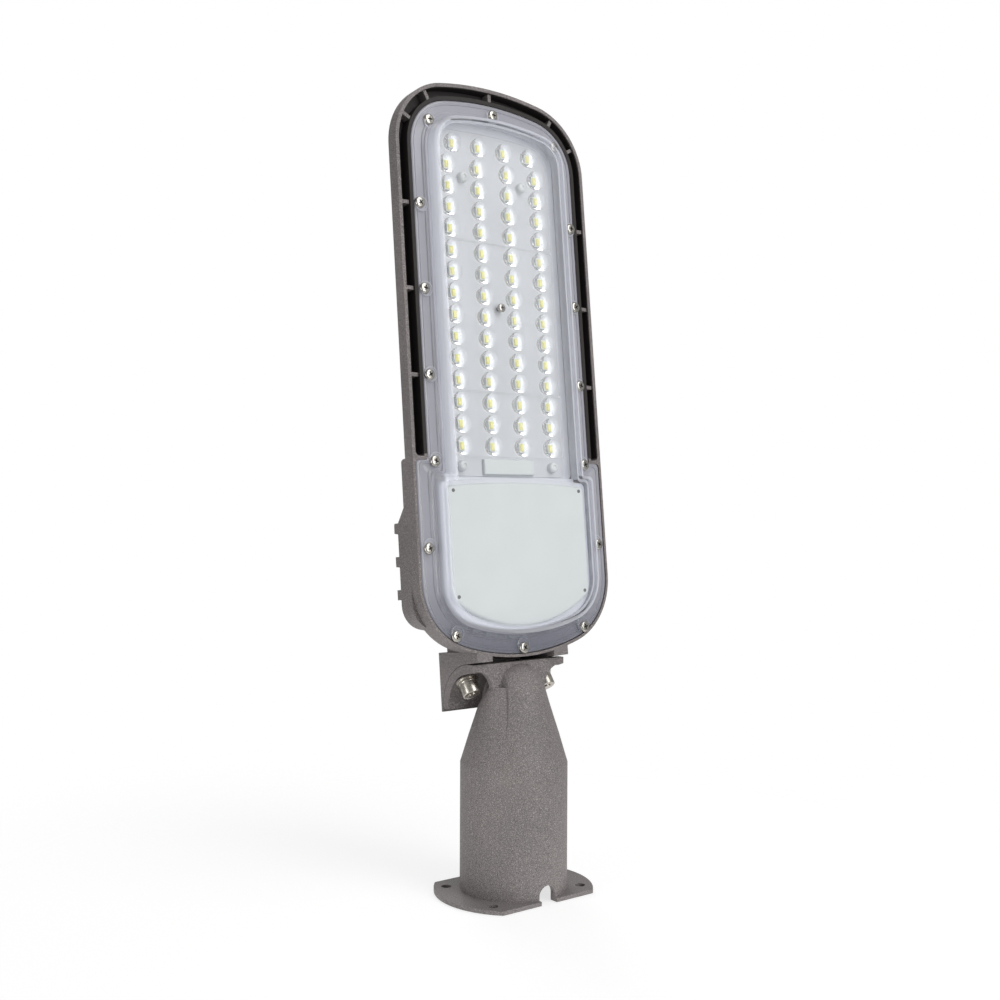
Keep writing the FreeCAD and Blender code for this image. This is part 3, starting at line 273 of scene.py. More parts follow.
# Black plastic; the same black also serves as the painted shadow on the floor under the flange holes.
BLACK_AND_SHADOW = plain_finish("black_plastic_and_painted_shadow", (0.03, 0.03, 0.03), 0.5, scale=200.0)
SEAL = plain_finish("seal_rubber", (0.30, 0.31, 0.33), 0.7, scale=200.0)
# The screw recesses' near-black finish is painted shade.
RECESS_SHADE = plain_finish("screw_recess_shade", (0.05, 0.045, 0.04), 0.5, metallic=0.6, scale=300.0)
# The channel's near-black finish is painted shade.
CHANNEL_SHADE = plain_finish("channel_painted_shade", (0.022, 0.018, 0.017), 0.7, scale=500.0)
PAD = plain_finish("pad_rubber", (0.40, 0.40, 0.42), 0.8, scale=200.0)
LINER = plain_finish("liner_plastic", (0.72, 0.74, 0.79), 0.45, scale=40.0, spread=0.03)
BOLT_STEEL = plain_finish("bolt_steel", (0.50, 0.47, 0.42), 0.28, metallic=1.0, scale=500.0, spread=0.15)
POST = plain_finish("post_plastic", (0.72, 0.74, 0.75), 0.25, scale=200.0, spread=0.05)
PIN = plain_finish("pin_grey", (0.16, 0.16, 0.16), 0.5, scale=400.0)
print("plain finishes ready")

# %% [markdown]
# The head's own frame. The head leans back on its hinge, so its pieces are modelled upright, in
# millimetres across (x), up (s) and out of the lamp face (n), and turned into place at the end. The
# hinge, the lean and the distances are the frame's, so each piece lands on what carries it.

# %% Head frame
MM = 0.001
HEAD_LEAN = math.radians(5.87)
HINGE = Vector((0.0, -0.0023, 0.1206))
HEAD_TURN = Matrix.Translation(HINGE) @ Matrix.Rotation(-HEAD_LEAN, 4, "X")
FACE_Y = -0.00642
FIELD_Z = 0.2609
BOARD_N = -0.8


def on_face(x, s, n):
    return Vector((x * MM, FACE_Y - n * MM, FIELD_Z + s * MM))


def deselect_all():
    if bpy.context.object and bpy.context.object.mode != "OBJECT":
        bpy.ops.object.mode_set(mode="OBJECT")
    bpy.ops.object.select_all(action="DESELECT")


def dress(piece, finishes):
    """Give a piece its finishes; a join would forget which face has which, so this comes first."""
    for finish in finishes:
        piece.data.materials.append(finish)
    return piece


def finish_piece(piece, name, finishes, replaced=(), smooth=35.0):
    """Turn a piece into its place on the head, and give it its finishes, its node and its body."""
    deselect_all()
    piece.name = name
    piece.data.transform(HEAD_TURN)
    piece.select_set(True)
    bpy.context.view_layer.objects.active = piece
    bpy.ops.object.mode_set(mode="EDIT")
    bpy.ops.mesh.select_all(action="SELECT")
    bpy.ops.mesh.normals_make_consistent(inside=False)
    bpy.ops.object.mode_set(mode="OBJECT")
    bpy.ops.object.shade_smooth_by_angle(angle=math.radians(smooth))
    if not piece.data.materials:
        dress(piece, finishes)
    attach(piece, "head")
    if replaced:
        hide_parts(*replaced)
    print(name, len(piece.data.polygons), "faces")


print("head leans", round(math.degrees(HEAD_LEAN), 2), "degrees")

# %% [markdown]
# Outlines. The cover, the lens plates and the driver's lid all follow one kind of outline: straight
# sides, bowed ends and round corners. Half of it is worked out from its arcs and then mirrored,
# always with the same count of points, so that outlines of different insets can be joined.

# %% Outlines
CORNER_STEPS = 10
END_STEPS = 8
SIDE_STEPS = 6
COVER_LAMP_HALF_W, COVER_TOP, COVER_TOP_BOW, COVER_TOP_R = 66.6, 136.6, 211.4, 33.6
COVER_DRIVER_HALF_W, COVER_BOTTOM, COVER_BOTTOM_BOW, COVER_BOTTOM_R = 75.6, -227.0, 149.1, 42.6
COVER_STEP_S = -102.6
SHOULDER_R = 3
NOTCH_R = 2
DRIVER_INSET_SHARE = 12.5 / 12.0
STEP_INSET_SHARE = 9.4 / 12.0


def arc(centre, radius, start, end, steps):
    turns = [start + (end - start) * k / steps for k in range(steps)]
    return [(centre[0] + radius * math.cos(a), centre[1] + radius * math.sin(a)) for a in turns]


def line(start, end, steps):
    return [(start[0] + (end[0] - start[0]) * k / steps, start[1] + (end[1] - start[1]) * k / steps)
            for k in range(steps)]


def round_end(half_w, end, bow, radius):
    """Corner centre and the angle where a corner meets the bowed end, measured from the middle up."""
    across = half_w - radius
    rise = math.sqrt((bow - radius) ** 2 - across ** 2)
    return (across, end - bow + rise), math.atan2(rise, across)


def top_half(half_w, top, bow, radius):
    centre, turn = round_end(half_w, top, bow, radius)
    corner = arc(centre, radius, 0.0, turn, CORNER_STEPS)
    return corner + arc((0, top - bow), bow, turn, math.pi / 2, END_STEPS)


def bottom_half(half_w, bottom, bow, radius):
    points = top_half(half_w, -bottom, bow, radius) + [(0.0, -bottom)]
    return [(x, -s) for x, s in reversed(points)]


def mirrored_outline(right, top):
    """Whole outline from its right half, which runs from the bottom's middle to below the top's."""
    return right + [(0.0, top)] + [(-x, s) for x, s in reversed(right[1:])]


def plan_outline(half_w, top, top_bow, top_r, bottom, bottom_bow, bottom_r):
    low = bottom_half(half_w, bottom, bottom_bow, bottom_r)
    high = top_half(half_w, top, top_bow, top_r)
    side = line(low[-1], high[0], SIDE_STEPS)[1:]
    return mirrored_outline(low + side + high, top)


def cover_outline(inset):
    """Outline of the clear cover, set in: narrow beside the lamps and wide round the driver."""
    wide = inset * DRIVER_INSET_SHARE
    step = COVER_STEP_S - inset * STEP_INSET_SHARE
    lamp_w, driver_w = COVER_LAMP_HALF_W - inset, COVER_DRIVER_HALF_W - wide
    top = COVER_TOP - inset
    low = bottom_half(driver_w, COVER_BOTTOM + wide, COVER_BOTTOM_BOW - wide, COVER_BOTTOM_R - wide)
    high = top_half(lamp_w, top, COVER_TOP_BOW - inset, COVER_TOP_R - inset)
    shoulder = arc((driver_w - SHOULDER_R, step - SHOULDER_R), SHOULDER_R, 0.0, math.pi / 2, 4)
    shoulder.append((driver_w - SHOULDER_R, step))
    notch = arc((lamp_w + NOTCH_R, step + NOTCH_R), NOTCH_R, -math.pi / 2, -math.pi, 4)
    notch.append((lamp_w, step + NOTCH_R))
    side = line(low[-1], shoulder[0], SIDE_STEPS)[1:]
    flank = line(notch[-1], high[0], SIDE_STEPS)[1:]
    return mirrored_outline(low + side + shoulder + notch + flank + high, top)


print("cover outline has", len(cover_outline(0)), "points")

# %% [markdown]
# Rings to a shell. A moulding whose section stays the same all round is easiest made as by hand: a
# circle is shaped to the first outline, and its edge is extruded again and again, each time moved to
# the next outline of the section. Both ends are then filled, which closes the shell.


# %% Extrude from ring to ring
def shell_from_rings(rings, slots=None, capped=True):
    deselect_all()
    bpy.ops.mesh.primitive_circle_add(vertices=len(rings[0]), radius=1.0)
    piece = bpy.context.object
    piece.matrix_world = Matrix.Identity(4)
    for vertex, point in zip(piece.data.vertices, rings[0]):
        vertex.co = point
    bpy.ops.object.mode_set(mode="EDIT")
    bpy.ops.mesh.select_all(action="SELECT")
    if capped:
        bpy.ops.mesh.edge_face_add()
    for index, (old, new) in enumerate(zip(rings, rings[1:])):
        mesh = bmesh.from_edit_mesh(piece.data)
        mesh.faces.ensure_lookup_table()
        before = len(mesh.faces)
        places = {tuple(Vector(a)): b for a, b in zip(old, new)}
        if index == 0 and capped:
            bpy.ops.mesh.delete(type="ONLY_FACE")
            bpy.ops.mesh.select_all(action="SELECT")
            before = 0
        bpy.ops.mesh.extrude_edges_move()
        mesh = bmesh.from_edit_mesh(piece.data)
        for vertex in mesh.verts:
            if vertex.select:
                vertex.co = places[tuple(vertex.co)]
        for face in list(mesh.faces)[before:]:
            face.material_index = slots[index] if slots else 0
        bmesh.update_edit_mesh(piece.data)
    if capped:
        bpy.ops.mesh.edge_face_add()
        mesh = bmesh.from_edit_mesh(piece.data)
        for face in mesh.faces:
            if face.select and slots:
                face.material_index = slots[-1]
        for edge in mesh.edges:
            edge.select = len(edge.link_faces) == 1
        mesh.select_flush_mode()
        bpy.ops.mesh.edge_face_add()
        for face in mesh.faces:
            if face.select and slots:
                face.material_index = slots[-1]
        bmesh.update_edit_mesh(piece.data)
    bpy.ops.object.mode_set(mode="OBJECT")
    return piece


def level_rings(outline, section):
    """Rings of one outline from a section given as insets and heights."""
    return [[on_face(x, s, n) for x, s in outline(inset)] for inset, n in section]


print("shell helper ready")

# %% [markdown]
# Clear cover. One moulding covers the lamps and the driver: a flat border under the screws, a fine
# ridge near its edge, two low steps, and then a wall that rises and rounds over into the raised
# field. The border looks milky because light runs along inside the plastic, so it has a hazier
# finish than the field, which stays almost invisible.

# %% Clear cover
WALL_IN, WALL_ROUND, FIELD_LIP = 12.2, 3.0, 0.6
FIELD_N = 14.2
BORDER_N = 4.4
ROUND_STEPS = 5
UNDERSIDE = [(17.2, 11.8), (15.6, 11.4), (14.7, 10.2), (14.4, 1.9)]
BORDER = [(0.5, 1.9), (0.0, 2.3), (0.0, 3.9), (0.5, BORDER_N), (1.8, BORDER_N), (2.1, 4.9), (2.9, 4.9),
          (3.2, BORDER_N), (7.6, BORDER_N), (8.0, 5.0), (9.4, 5.0), (9.8, 5.8), (11.3, 5.8), (11.8, 6.6)]


def rounded_wall():
    """Section of the wall: straight up, then a quarter circle over into the raised field."""
    turns = [math.pi / 2 * k / ROUND_STEPS for k in range(1, ROUND_STEPS + 1)]
    curve = [(WALL_IN + WALL_ROUND * (1 - math.cos(turn)), FIELD_N - WALL_ROUND * (1 - math.sin(turn)))
             for turn in turns]
    return [(WALL_IN, FIELD_N - WALL_ROUND)] + curve + [(WALL_IN + WALL_ROUND + FIELD_LIP, FIELD_N)]


WALL = rounded_wall()
section = UNDERSIDE + BORDER + WALL
slots = [1] * (len(UNDERSIDE) - 1) + [0] * len(BORDER) + [1] * (len(WALL) - 1) + [2, 2]
cover = shell_from_rings(level_rings(cover_outline, section), slots)
cover_finishes = [COVER_EDGE, COVER_WALL, COVER_FIELD]
finish_piece(cover, "cover_shell", cover_finishes, ["clear_cover"], smooth=50.0)

# %% [markdown]
# Screw pads. Each cover screw presses on a round, slightly sunk pad of the moulding. A low cylinder
# is bevelled, its top inset and pushed down, and the pad is copied to every screw. The pads stand a
# little towards the field, because the cover's edge would cut them otherwise.

# %% Screw pads
SCREW_PLACES = [(0.0, 130.0), (52.4, 117.4), (62.9, 61.3), (62.7, 6.0), (62.5, -49.1), (62.0, -103.6),
                (70.0, -158.1), (52.9, -213.1), (0.0, -223.6)]
SCREW_PLACES += [(-x, s) for x, s in SCREW_PLACES if x]
PAD_R, PAD_H, PAD_SHIFT, PAD_SUNK = 5.0, 1.1, 0.02, 0.05
COPY_ROLL = 0.7
FACE_TURN = Matrix.Rotation(math.pi / 2, 4, "X")


def select_faces(test):
    """Select the faces of the mesh in edit mode whose place and normal pass a test."""
    mesh = bmesh.from_edit_mesh(bpy.context.object.data)
    bpy.ops.mesh.select_all(action="DESELECT")
    for face in mesh.faces:
        if test(face.calc_center_median(), face.normal):
            face.select = True
    mesh.select_flush(True)
    bmesh.update_edit_mesh(bpy.context.object.data)


def start_cylinder(vertices, radius, height):
    """Upright cylinder in millimetres, standing on its own origin, with edit mode on."""
    deselect_all()
    bpy.ops.mesh.primitive_cylinder_add(vertices=vertices, radius=radius * MM, depth=height * MM,
                                        location=(0, 0, height * MM / 2))
    bpy.ops.object.transform_apply(location=True, rotation=True, scale=True)
    bpy.ops.object.mode_set(mode="EDIT")
    return bpy.context.object


def is_top(centre, normal):
    return normal.z > 0.9


def copies_on_face(model, places, n):
    """Copy one small piece to many places of the lamp face and join the copies."""
    deselect_all()
    copies = []
    for index, (x, s) in enumerate(places):
        copy = bpy.data.objects.new("copy", model.data.copy())
        bpy.context.scene.collection.objects.link(copy)
        roll = Matrix.Rotation(index * COPY_ROLL, 4, "Z")
        copy.data.transform(Matrix.Translation(on_face(x, s, n)) @ FACE_TURN @ roll)
        copies.append(copy)
    bpy.data.objects.remove(model)
    for copy in copies:
        copy.select_set(True)
    bpy.context.view_layer.objects.active = copies[0]
    bpy.ops.object.join()
    return bpy.context.object


pad = start_cylinder(32, PAD_R, PAD_H)
select_faces(is_top)
bpy.ops.mesh.bevel(offset=0.3 * MM, segments=2, affect="EDGES")
select_faces(lambda centre, normal: normal.z > 0.9 and centre.length < PAD_H * MM * 1.1)
bpy.ops.mesh.inset(thickness=0.7 * MM, depth=0.0)
bpy.ops.mesh.inset(thickness=0.3 * MM, depth=-0.5 * MM)
bpy.ops.object.mode_set(mode="OBJECT")
pad_places = [(x * (1 - PAD_SHIFT), s * (1 - PAD_SHIFT / 2)) for x, s in SCREW_PLACES]
pads = copies_on_face(pad, pad_places, BORDER_N - PAD_SUNK)
finish_piece(pads, "cover_pads", [COVER_PAD])

# %% [markdown]
# Cover screws. Sixteen round-headed stainless screws with a cross recess. The head is a cylinder whose
# top edge is bevelled round; its top is inset, the inset ring is drawn in between the four arms of
# a cross, and the cross is pushed down. A darker finish in the recess stands for the shade.

# %% Cover screws
HEAD_R, HEAD_H, RECESS_R, RECESS_DEPTH = 3.7, 2.4, 1.75, 1.3
CENTRE_HEAD_R, CENTRE_HEAD_H, CENTRE_RECESS_R, CENTRE_SCREW_N = 3.0, 2.0, 1.4, 2.0
HEAD_ROUND, ARM_HALF_ANGLE, ARM_FOOT = 0.55, 17, 0.42


def cross_screw_head(radius, height, recess):
    head = start_cylinder(24, radius, height)
    select_faces(is_top)
    bpy.ops.mesh.bevel(offset=height * HEAD_ROUND * MM, segments=4, affect="EDGES")
    select_faces(lambda centre, normal: normal.z > 0.999 and centre.xy.length < 0.2 * MM)
    inner = radius - height * HEAD_ROUND - recess
    bpy.ops.mesh.inset(thickness=max(inner, 0.15) * MM, depth=0.05 * MM)
    mesh = bmesh.from_edit_mesh(head.data)
    for vertex in mesh.verts:
        if vertex.select:
            quarter = math.degrees(math.atan2(vertex.co.y, vertex.co.x)) % 90
            reach = recess if min(quarter, 90 - quarter) < ARM_HALF_ANGLE else recess * ARM_FOOT
            vertex.co.xy = vertex.co.xy.normalized() * reach * MM
    bmesh.update_edit_mesh(head.data)
    bpy.ops.mesh.inset(thickness=0.06 * MM, depth=-RECESS_DEPTH * MM)
    mesh = bmesh.from_edit_mesh(head.data)
    for face in mesh.faces:
        touches = any(vertex.select for vertex in face.verts)
        face.material_index = 1 if touches else 0
    bmesh.update_edit_mesh(head.data)
    bpy.ops.object.mode_set(mode="OBJECT")
    return head


screw = dress(cross_screw_head(HEAD_R, HEAD_H, RECESS_R), [STEEL, RECESS_SHADE])
screws = copies_on_face(screw, SCREW_PLACES, BORDER_N)
finish_piece(screws, "cover_screw_heads", [STEEL, RECESS_SHADE], ["cover_screws"])
centre_screw = dress(cross_screw_head(CENTRE_HEAD_R, CENTRE_HEAD_H, CENTRE_RECESS_R), [STEEL, RECESS_SHADE])
centre_screw = copies_on_face(centre_screw, [(0.0, 0.0)], CENTRE_SCREW_N)
finish_piece(centre_screw, "plate_centre_screw", [STEEL, RECESS_SHADE], ["board_centre_screw"])

# %% [markdown]
# Lens plates. Three clear sheets lie end to end over the lamp board, with a seam between them, and
# each carries one dome over every chip. The sheet is a shell from rings. The dome is half of a
# sphere: it is cut with bisect, its crown is moved towards the top of the head, and a short foot is
# extruded down round the chip, so that no air lies between and the dome shows the chip enlarged.

# %% Lens plates
LAMP_COLUMNS, ROW_PITCH, ROWS = 4, 14.24, 15
TOP_PITCH, COLUMN_PITCH, TOP_ROW_S = 21.3, 24.56, 107.2
DOME_R, DOME_H, DOME_FOOT, DOME_INSET, CROWN_SHIFT, DOME_SUNK = 6.5, 5.0, 2.6, 0.9, 0.9, 0.1
PLATE_HALF_W, PLATE_FOOT, PLATE_TOP, SEAM_GAP = 47.2, 0.2, 2.0, 0.25
TOP_BOW, STRAIGHT_BOW, TOP_R, SEAM_R, FOOT_R = 400.0, 4000.0, 16.0, 1.6, 1.5


def lamp_rows():
    rows = [[((k - 1.5) * TOP_PITCH, TOP_ROW_S) for k in range(LAMP_COLUMNS)]]
    for row in range(ROWS - 1):
        s = ((ROWS - 2) / 2 - row) * ROW_PITCH
        rows.append([((k - 1.5) * COLUMN_PITCH, s) for k in range(LAMP_COLUMNS)])
    return rows


def lens_dome():
    deselect_all()
    bpy.ops.mesh.primitive_uv_sphere_add(segments=20, ring_count=12, radius=DOME_R * MM)
    bpy.ops.object.mode_set(mode="EDIT")
    bpy.ops.mesh.select_all(action="SELECT")
    bpy.ops.mesh.bisect(plane_co=(0, 0, 0.0001 * MM), plane_no=(0, 0, 1), clear_inner=True, use_fill=True)
    select_faces(lambda centre, normal: normal.z < -0.9)
    bpy.ops.mesh.inset(thickness=DOME_INSET * MM, depth=0.0)
    bpy.ops.mesh.extrude_region_move(TRANSFORM_OT_translate={"value": (0, 0, -DOME_FOOT * MM)})
    mesh = bmesh.from_edit_mesh(bpy.context.object.data)
    for vertex in mesh.verts:
        height = max(vertex.co.z / (DOME_R * MM), 0.0)
        if height:
            vertex.co.z *= DOME_H / DOME_R
        vertex.co.y += CROWN_SHIFT * MM * height ** 2
    bmesh.update_edit_mesh(bpy.context.object.data)
    bpy.ops.object.mode_set(mode="OBJECT")
    return bpy.context.object


def flat_copies(model, places, n):
    """Copies that keep their own up direction, for shapes that aren't round."""
    copies = []
    for x, s in places:
        copy = bpy.data.objects.new("copy", model.data.copy())
        bpy.context.scene.collection.objects.link(copy)
        copy.data.transform(Matrix.Translation(on_face(x, s, n)) @ FACE_TURN)
        copies.append(copy)
    bpy.data.objects.remove(model)
    return copies


def join_pieces(first, others):
    deselect_all()
    for piece in [first] + others:
        piece.select_set(True)
    bpy.context.view_layer.objects.active = first
    bpy.ops.object.join()
    return bpy.context.object


def lens_plate(name, node, rows, top, top_r):
    bottom = rows[-1][0][1] - ROW_PITCH / 2 + SEAM_GAP
    bow = TOP_BOW if top_r == TOP_R else STRAIGHT_BOW

    def outline(inset):
        return plan_outline(PLATE_HALF_W - inset, top - inset, bow, top_r - inset,
                            bottom + inset, STRAIGHT_BOW, FOOT_R - inset)
    section = [(0.0, PLATE_FOOT), (0.0, PLATE_TOP - 0.4), (0.12, PLATE_TOP - 0.12), (0.4, PLATE_TOP)]
    plate = shell_from_rings(level_rings(outline, section))
    dome = dress(lens_dome(), [LENS_SHEET, LENS_DOME])
    for face in dome.data.polygons:
        face.material_index = 1
    domes = flat_copies(dome, [place for row in rows for place in row], PLATE_TOP - DOME_SUNK)
    plate = join_pieces(dress(plate, [LENS_SHEET, LENS_DOME]), domes)
    finish_piece(plate, name, [LENS_SHEET, LENS_DOME], [node], smooth=40.0)


rows = lamp_rows()
upper_seam, lower_seam = [rows[k][0][1] - ROW_PITCH / 2 - SEAM_GAP for k in (4, 11)]
lens_plate("lens_sheet_upper", "lens_plate_upper", rows[:5], 117.2, TOP_R)
lens_plate("lens_sheet_middle", "lens_plate_middle", rows[5:12], upper_seam, SEAM_R)
lens_plate("lens_sheet_lower", "lens_plate_lower", rows[12:], lower_seam, SEAM_R)

# %% [markdown]
# Chips. Under each dome sits a white lead frame with a yellow phosphor cushion in it. It is a low
# box whose top is inset twice, and the second time the inner face is lifted to a small cushion.

# %% Chips
CHIP_W, CHIP_L, CHIP_H = 2.8, 4.4, 0.9


def chip_light():
    deselect_all()
    bpy.ops.mesh.primitive_cube_add(size=1.0, location=(0, 0, CHIP_H * MM / 2),
                                    scale=(CHIP_W * MM, CHIP_L * MM, CHIP_H * MM))
    bpy.ops.object.transform_apply(location=True, rotation=True, scale=True)
    bpy.ops.object.mode_set(mode="EDIT")
    select_faces(is_top)
    bpy.ops.mesh.inset(thickness=0.35 * MM, depth=0.0)
    bpy.ops.mesh.inset(thickness=0.35 * MM, depth=0.5 * MM)
    mesh = bmesh.from_edit_mesh(bpy.context.object.data)
    for face in mesh.faces:
        face.material_index = 1 if face.calc_center_median().z > (CHIP_H + 0.1) * MM else 0
    bmesh.update_edit_mesh(bpy.context.object.data)
    bpy.ops.object.mode_set(mode="OBJECT")
    return bpy.context.object


chips = flat_copies(dress(chip_light(), [WHITE, CHIP]), [place for row in rows for place in row], BOARD_N)
chips = join_pieces(chips[0], chips[1:])
finish_piece(chips, "chip_lights", [WHITE, CHIP], ["led_chips"])

# %% [markdown]
# Driver lid. A white moulded tray over the driver, with soft shoulders and a shallow dished rim. It
# follows its own bowed outline and is a shell from rings, so that the shoulder is a true rounding
# that catches a soft highlight, and not a sharp edge.

# %% Driver lid
LID_SECTION = [(0.8, 0.9), (-1.0, 0.9), (-0.7, 3.0), (-0.4, 5.6), (-0.1, 7.2), (0.35, 8.2), (1.0, 8.8),
               (1.9, 9.0), (2.6, 9.0)]


def lid_outline(inset):
    return plan_outline(half_w=56.5 - inset, top=-116.8 - inset, top_bow=600.0, top_r=4.0 - inset * 0.6,
                        bottom=-209.6 + inset, bottom_bow=92.0 - inset, bottom_r=9.0 - inset)


lid = shell_from_rings(level_rings(lid_outline, LID_SECTION))
finish_piece(lid, "driver_lid", [WHITE], ["driver_cover"], smooth=50.0)

# %% [markdown]
# Pocket liner. Round the lamp board the real head has a pale moulded frame that hides the pocket's
# dark wall, and below the board a pale ledge leads up to the driver's lid. The frame is a shell from
# rings between the board's outline and the pocket's, closed on itself at its back.

# %% Pocket liner
LINER_SECTION = [(0.0, -2.9), (0.0, -1.0), (0.16, -0.7), (0.8, 0.2), (1.0, 0.8), (1.0, -2.9)]


def liner_outline(share):
    """From the board's outline (share 0) to the pocket's (share 1)."""
    def between(low, high):
        return low + (high - low) * share
    return plan_outline(half_w=between(48.15, 52.85), top=between(118.15, 123.85),
                        top_bow=between(400.0, 198.8), top_r=between(16.0, 19.8),
                        bottom=between(-112.1, -113.35), bottom_bow=4000.0, bottom_r=between(3.0, 2.8))


rings = level_rings(liner_outline, LINER_SECTION)
liner = shell_from_rings(rings + [rings[0]], capped=False)
liner_mesh = bmesh.new()
liner_mesh.from_mesh(liner.data)
bmesh.ops.remove_doubles(liner_mesh, verts=liner_mesh.verts, dist=0.001 * MM)
liner_mesh.to_mesh(liner.data)
liner_mesh.free()
finish_piece(liner, "pocket_liner", [LINER], smooth=40.0)


def soft_block(low, high, round_off):
    """Box between two corners of the head's frame, with all edges bevelled."""
    deselect_all()
    a, b = on_face(*low), on_face(*high)
    bpy.ops.mesh.primitive_cube_add(size=1.0, location=(a + b) / 2)
    bpy.context.object.scale = [abs(b[k] - a[k]) for k in range(3)]
    bpy.ops.object.transform_apply(location=True, rotation=True, scale=True)
    bpy.ops.object.mode_set(mode="EDIT")
    bpy.ops.mesh.select_all(action="SELECT")
    bpy.ops.mesh.bevel(offset=round_off * MM, segments=3, affect="EDGES")
    bpy.ops.object.mode_set(mode="OBJECT")
    return bpy.context.object


ledge = soft_block((-53.5, -119.5, 0.95), (53.5, -113.0, 3.2), 0.8)
finish_piece(ledge, "lid_ledge", [LINER], smooth=40.0)

# %% [markdown]
# Clamp screws. A socket screw, a spring washer and a flat washer clamp each cheek. Each is a
# cylinder: the head's edge is bevelled and its top inset to a hexagon and pushed down, the washers'
# edges are bevelled, and the three are stacked along the screw's line towards the hinge.

# %% Clamp screws
SCREW_X, SCREW_ANGLE, STACK_FOOT = 30.9, math.radians(60.0), 21.9
CLAMP_HEAD_R, CLAMP_HEAD_H, SOCKET_R = 6.0, 8.0, 3.1
FLAT_R, SPRING_R, WASHER_H, STACK_GAP = 7.2, 6.3, 1.6, 0.02
SHANK_R, SHANK_L, SHANK_DEPTH = 2.9, 12.0, 11.5
STACK_TILT = math.radians(150.0)
HEAD_BEVEL, SOCKET_DEPTH = 0.8, 3.5


def socket_head():
    head = start_cylinder(36, CLAMP_HEAD_R, CLAMP_HEAD_H)
    select_faces(is_top)
    bpy.ops.mesh.bevel(offset=HEAD_BEVEL * MM, segments=3, affect="EDGES")
    select_faces(lambda centre, normal: normal.z > 0.999 and centre.xy.length < 0.2 * MM)
    bpy.ops.mesh.inset(thickness=(CLAMP_HEAD_R - HEAD_BEVEL - SOCKET_R) * MM, depth=0.0)
    mesh = bmesh.from_edit_mesh(head.data)
    for vertex in mesh.verts:
        if vertex.select:
            side = math.degrees(math.atan2(vertex.co.y, vertex.co.x)) % 60 - 30
            reach = SOCKET_R * MM * math.cos(math.pi / 6) / math.cos(math.radians(side))
            vertex.co.xy = vertex.co.xy.normalized() * reach
    bmesh.update_edit_mesh(head.data)
    bpy.ops.mesh.inset(thickness=0.05 * MM, depth=-SOCKET_DEPTH * MM)
    mesh = bmesh.from_edit_mesh(head.data)
    # The socket's faces take the dark recess finish, painted shade.
    for face in mesh.faces:
        face.material_index = 1 if any(vertex.select for vertex in face.verts) else 0
    bmesh.update_edit_mesh(head.data)
    bpy.ops.object.mode_set(mode="OBJECT")
    return head


def washer(radius, height):
    piece = start_cylinder(36, radius, height)
    select_faces(lambda centre, normal: abs(normal.z) > 0.9)
    bpy.ops.mesh.bevel(offset=0.25 * MM, segments=2, affect="EDGES")
    bpy.ops.object.mode_set(mode="OBJECT")
    return piece


def lift(piece, height):
    piece.data.transform(Matrix.Translation((0, 0, height * MM)))
    return piece


def clamp_stack(side):
    shank = lift(start_cylinder(24, SHANK_R, SHANK_L), -SHANK_DEPTH)
    bpy.ops.object.mode_set(mode="OBJECT")
    flat = washer(FLAT_R, WASHER_H)
    spring = lift(washer(SPRING_R, WASHER_H), WASHER_H + STACK_GAP)
    head = lift(socket_head(), 2 * (WASHER_H + STACK_GAP))
    parts = [dress(part, [BOLT_STEEL, RECESS_SHADE]) for part in (head, shank, flat, spring)]
    stack = join_pieces(parts[0], parts[1:])
    out = Vector((0.0, math.cos(SCREW_ANGLE), math.sin(SCREW_ANGLE))) * STACK_FOOT
    foot = (out + Vector((side * SCREW_X, 0.0, 0.0))) * MM
    stack.data.transform(Matrix.Translation(foot) @ Matrix.Rotation(STACK_TILT, 4, "X"))
    return stack


clamps = join_pieces(clamp_stack(-1), [clamp_stack(1)])
clamp_nodes = ["clamp_bolts", "flat_washers", "spring_washers"]
finish_piece(clamps, "clamp_screws", [BOLT_STEEL, RECESS_SHADE], clamp_nodes)

# %% [markdown]
# Posts and pins. Four milky snap posts hold the lens plates down, each a low cylinder with a round
# shoulder and a dimple. Four small grey pins sit in the corners of the driver's lid.

# %% Posts and pins
POST_PLACES = [(side * x, s) for x, s in ((24.56, 85.4), (37.5, -105.5)) for side in (-1, 1)]
PIN_PLACES = [(side * 52.0, s) for s in (-122.2, -188.9) for side in (-1, 1)]
POST_R, POST_H, POST_ROUND, POST_DIMPLE = 3.5, 4.0, 1.8, 0.6
PIN_R, PIN_H, PIN_ROUND, PIN_DIMPLE, PIN_N = 1.15, 0.5, 0.2, 0.2, 8.9


def button(radius, height, round_off, dimple):
    piece = start_cylinder(28, radius, height)
    select_faces(is_top)
    bpy.ops.mesh.bevel(offset=round_off * MM, segments=4, affect="EDGES")
    select_faces(lambda centre, normal: normal.z > 0.999 and centre.xy.length < 0.2 * MM)
    bpy.ops.mesh.inset(thickness=dimple * MM, depth=-dimple * MM)
    bpy.ops.object.mode_set(mode="OBJECT")
    return piece


posts = copies_on_face(button(POST_R, POST_H, POST_ROUND, POST_DIMPLE), POST_PLACES, BOARD_N)
finish_piece(posts, "post_buttons", [POST], ["board_posts"])
pins = copies_on_face(button(PIN_R, PIN_H, PIN_ROUND, PIN_DIMPLE), PIN_PLACES, PIN_N)
finish_piece(pins, "lid_pins", [PIN], ["driver_cover_pins"])

# %% [markdown]
# Driver bay floor. A pale slab lies round the lid and reaches out to the cover's wall, so the bay
# looks bright to its edge. It follows the cover's wall on the inside.

# %% Bay floor
BAY_SECTION = [(0.0, 0.95), (0.0, 5.4), (0.7, 6.1)]


def bay_outline(inset):
    return plan_outline(half_w=60.2 - inset, top=-113.6 - inset, top_bow=600.0, top_r=4.0 - inset,
                        bottom=-211.7 + inset, bottom_bow=132.0 - inset, bottom_r=26.0 - inset)


bay = shell_from_rings(level_rings(bay_outline, BAY_SECTION))
finish_piece(bay, "bay_floor", [LINER])

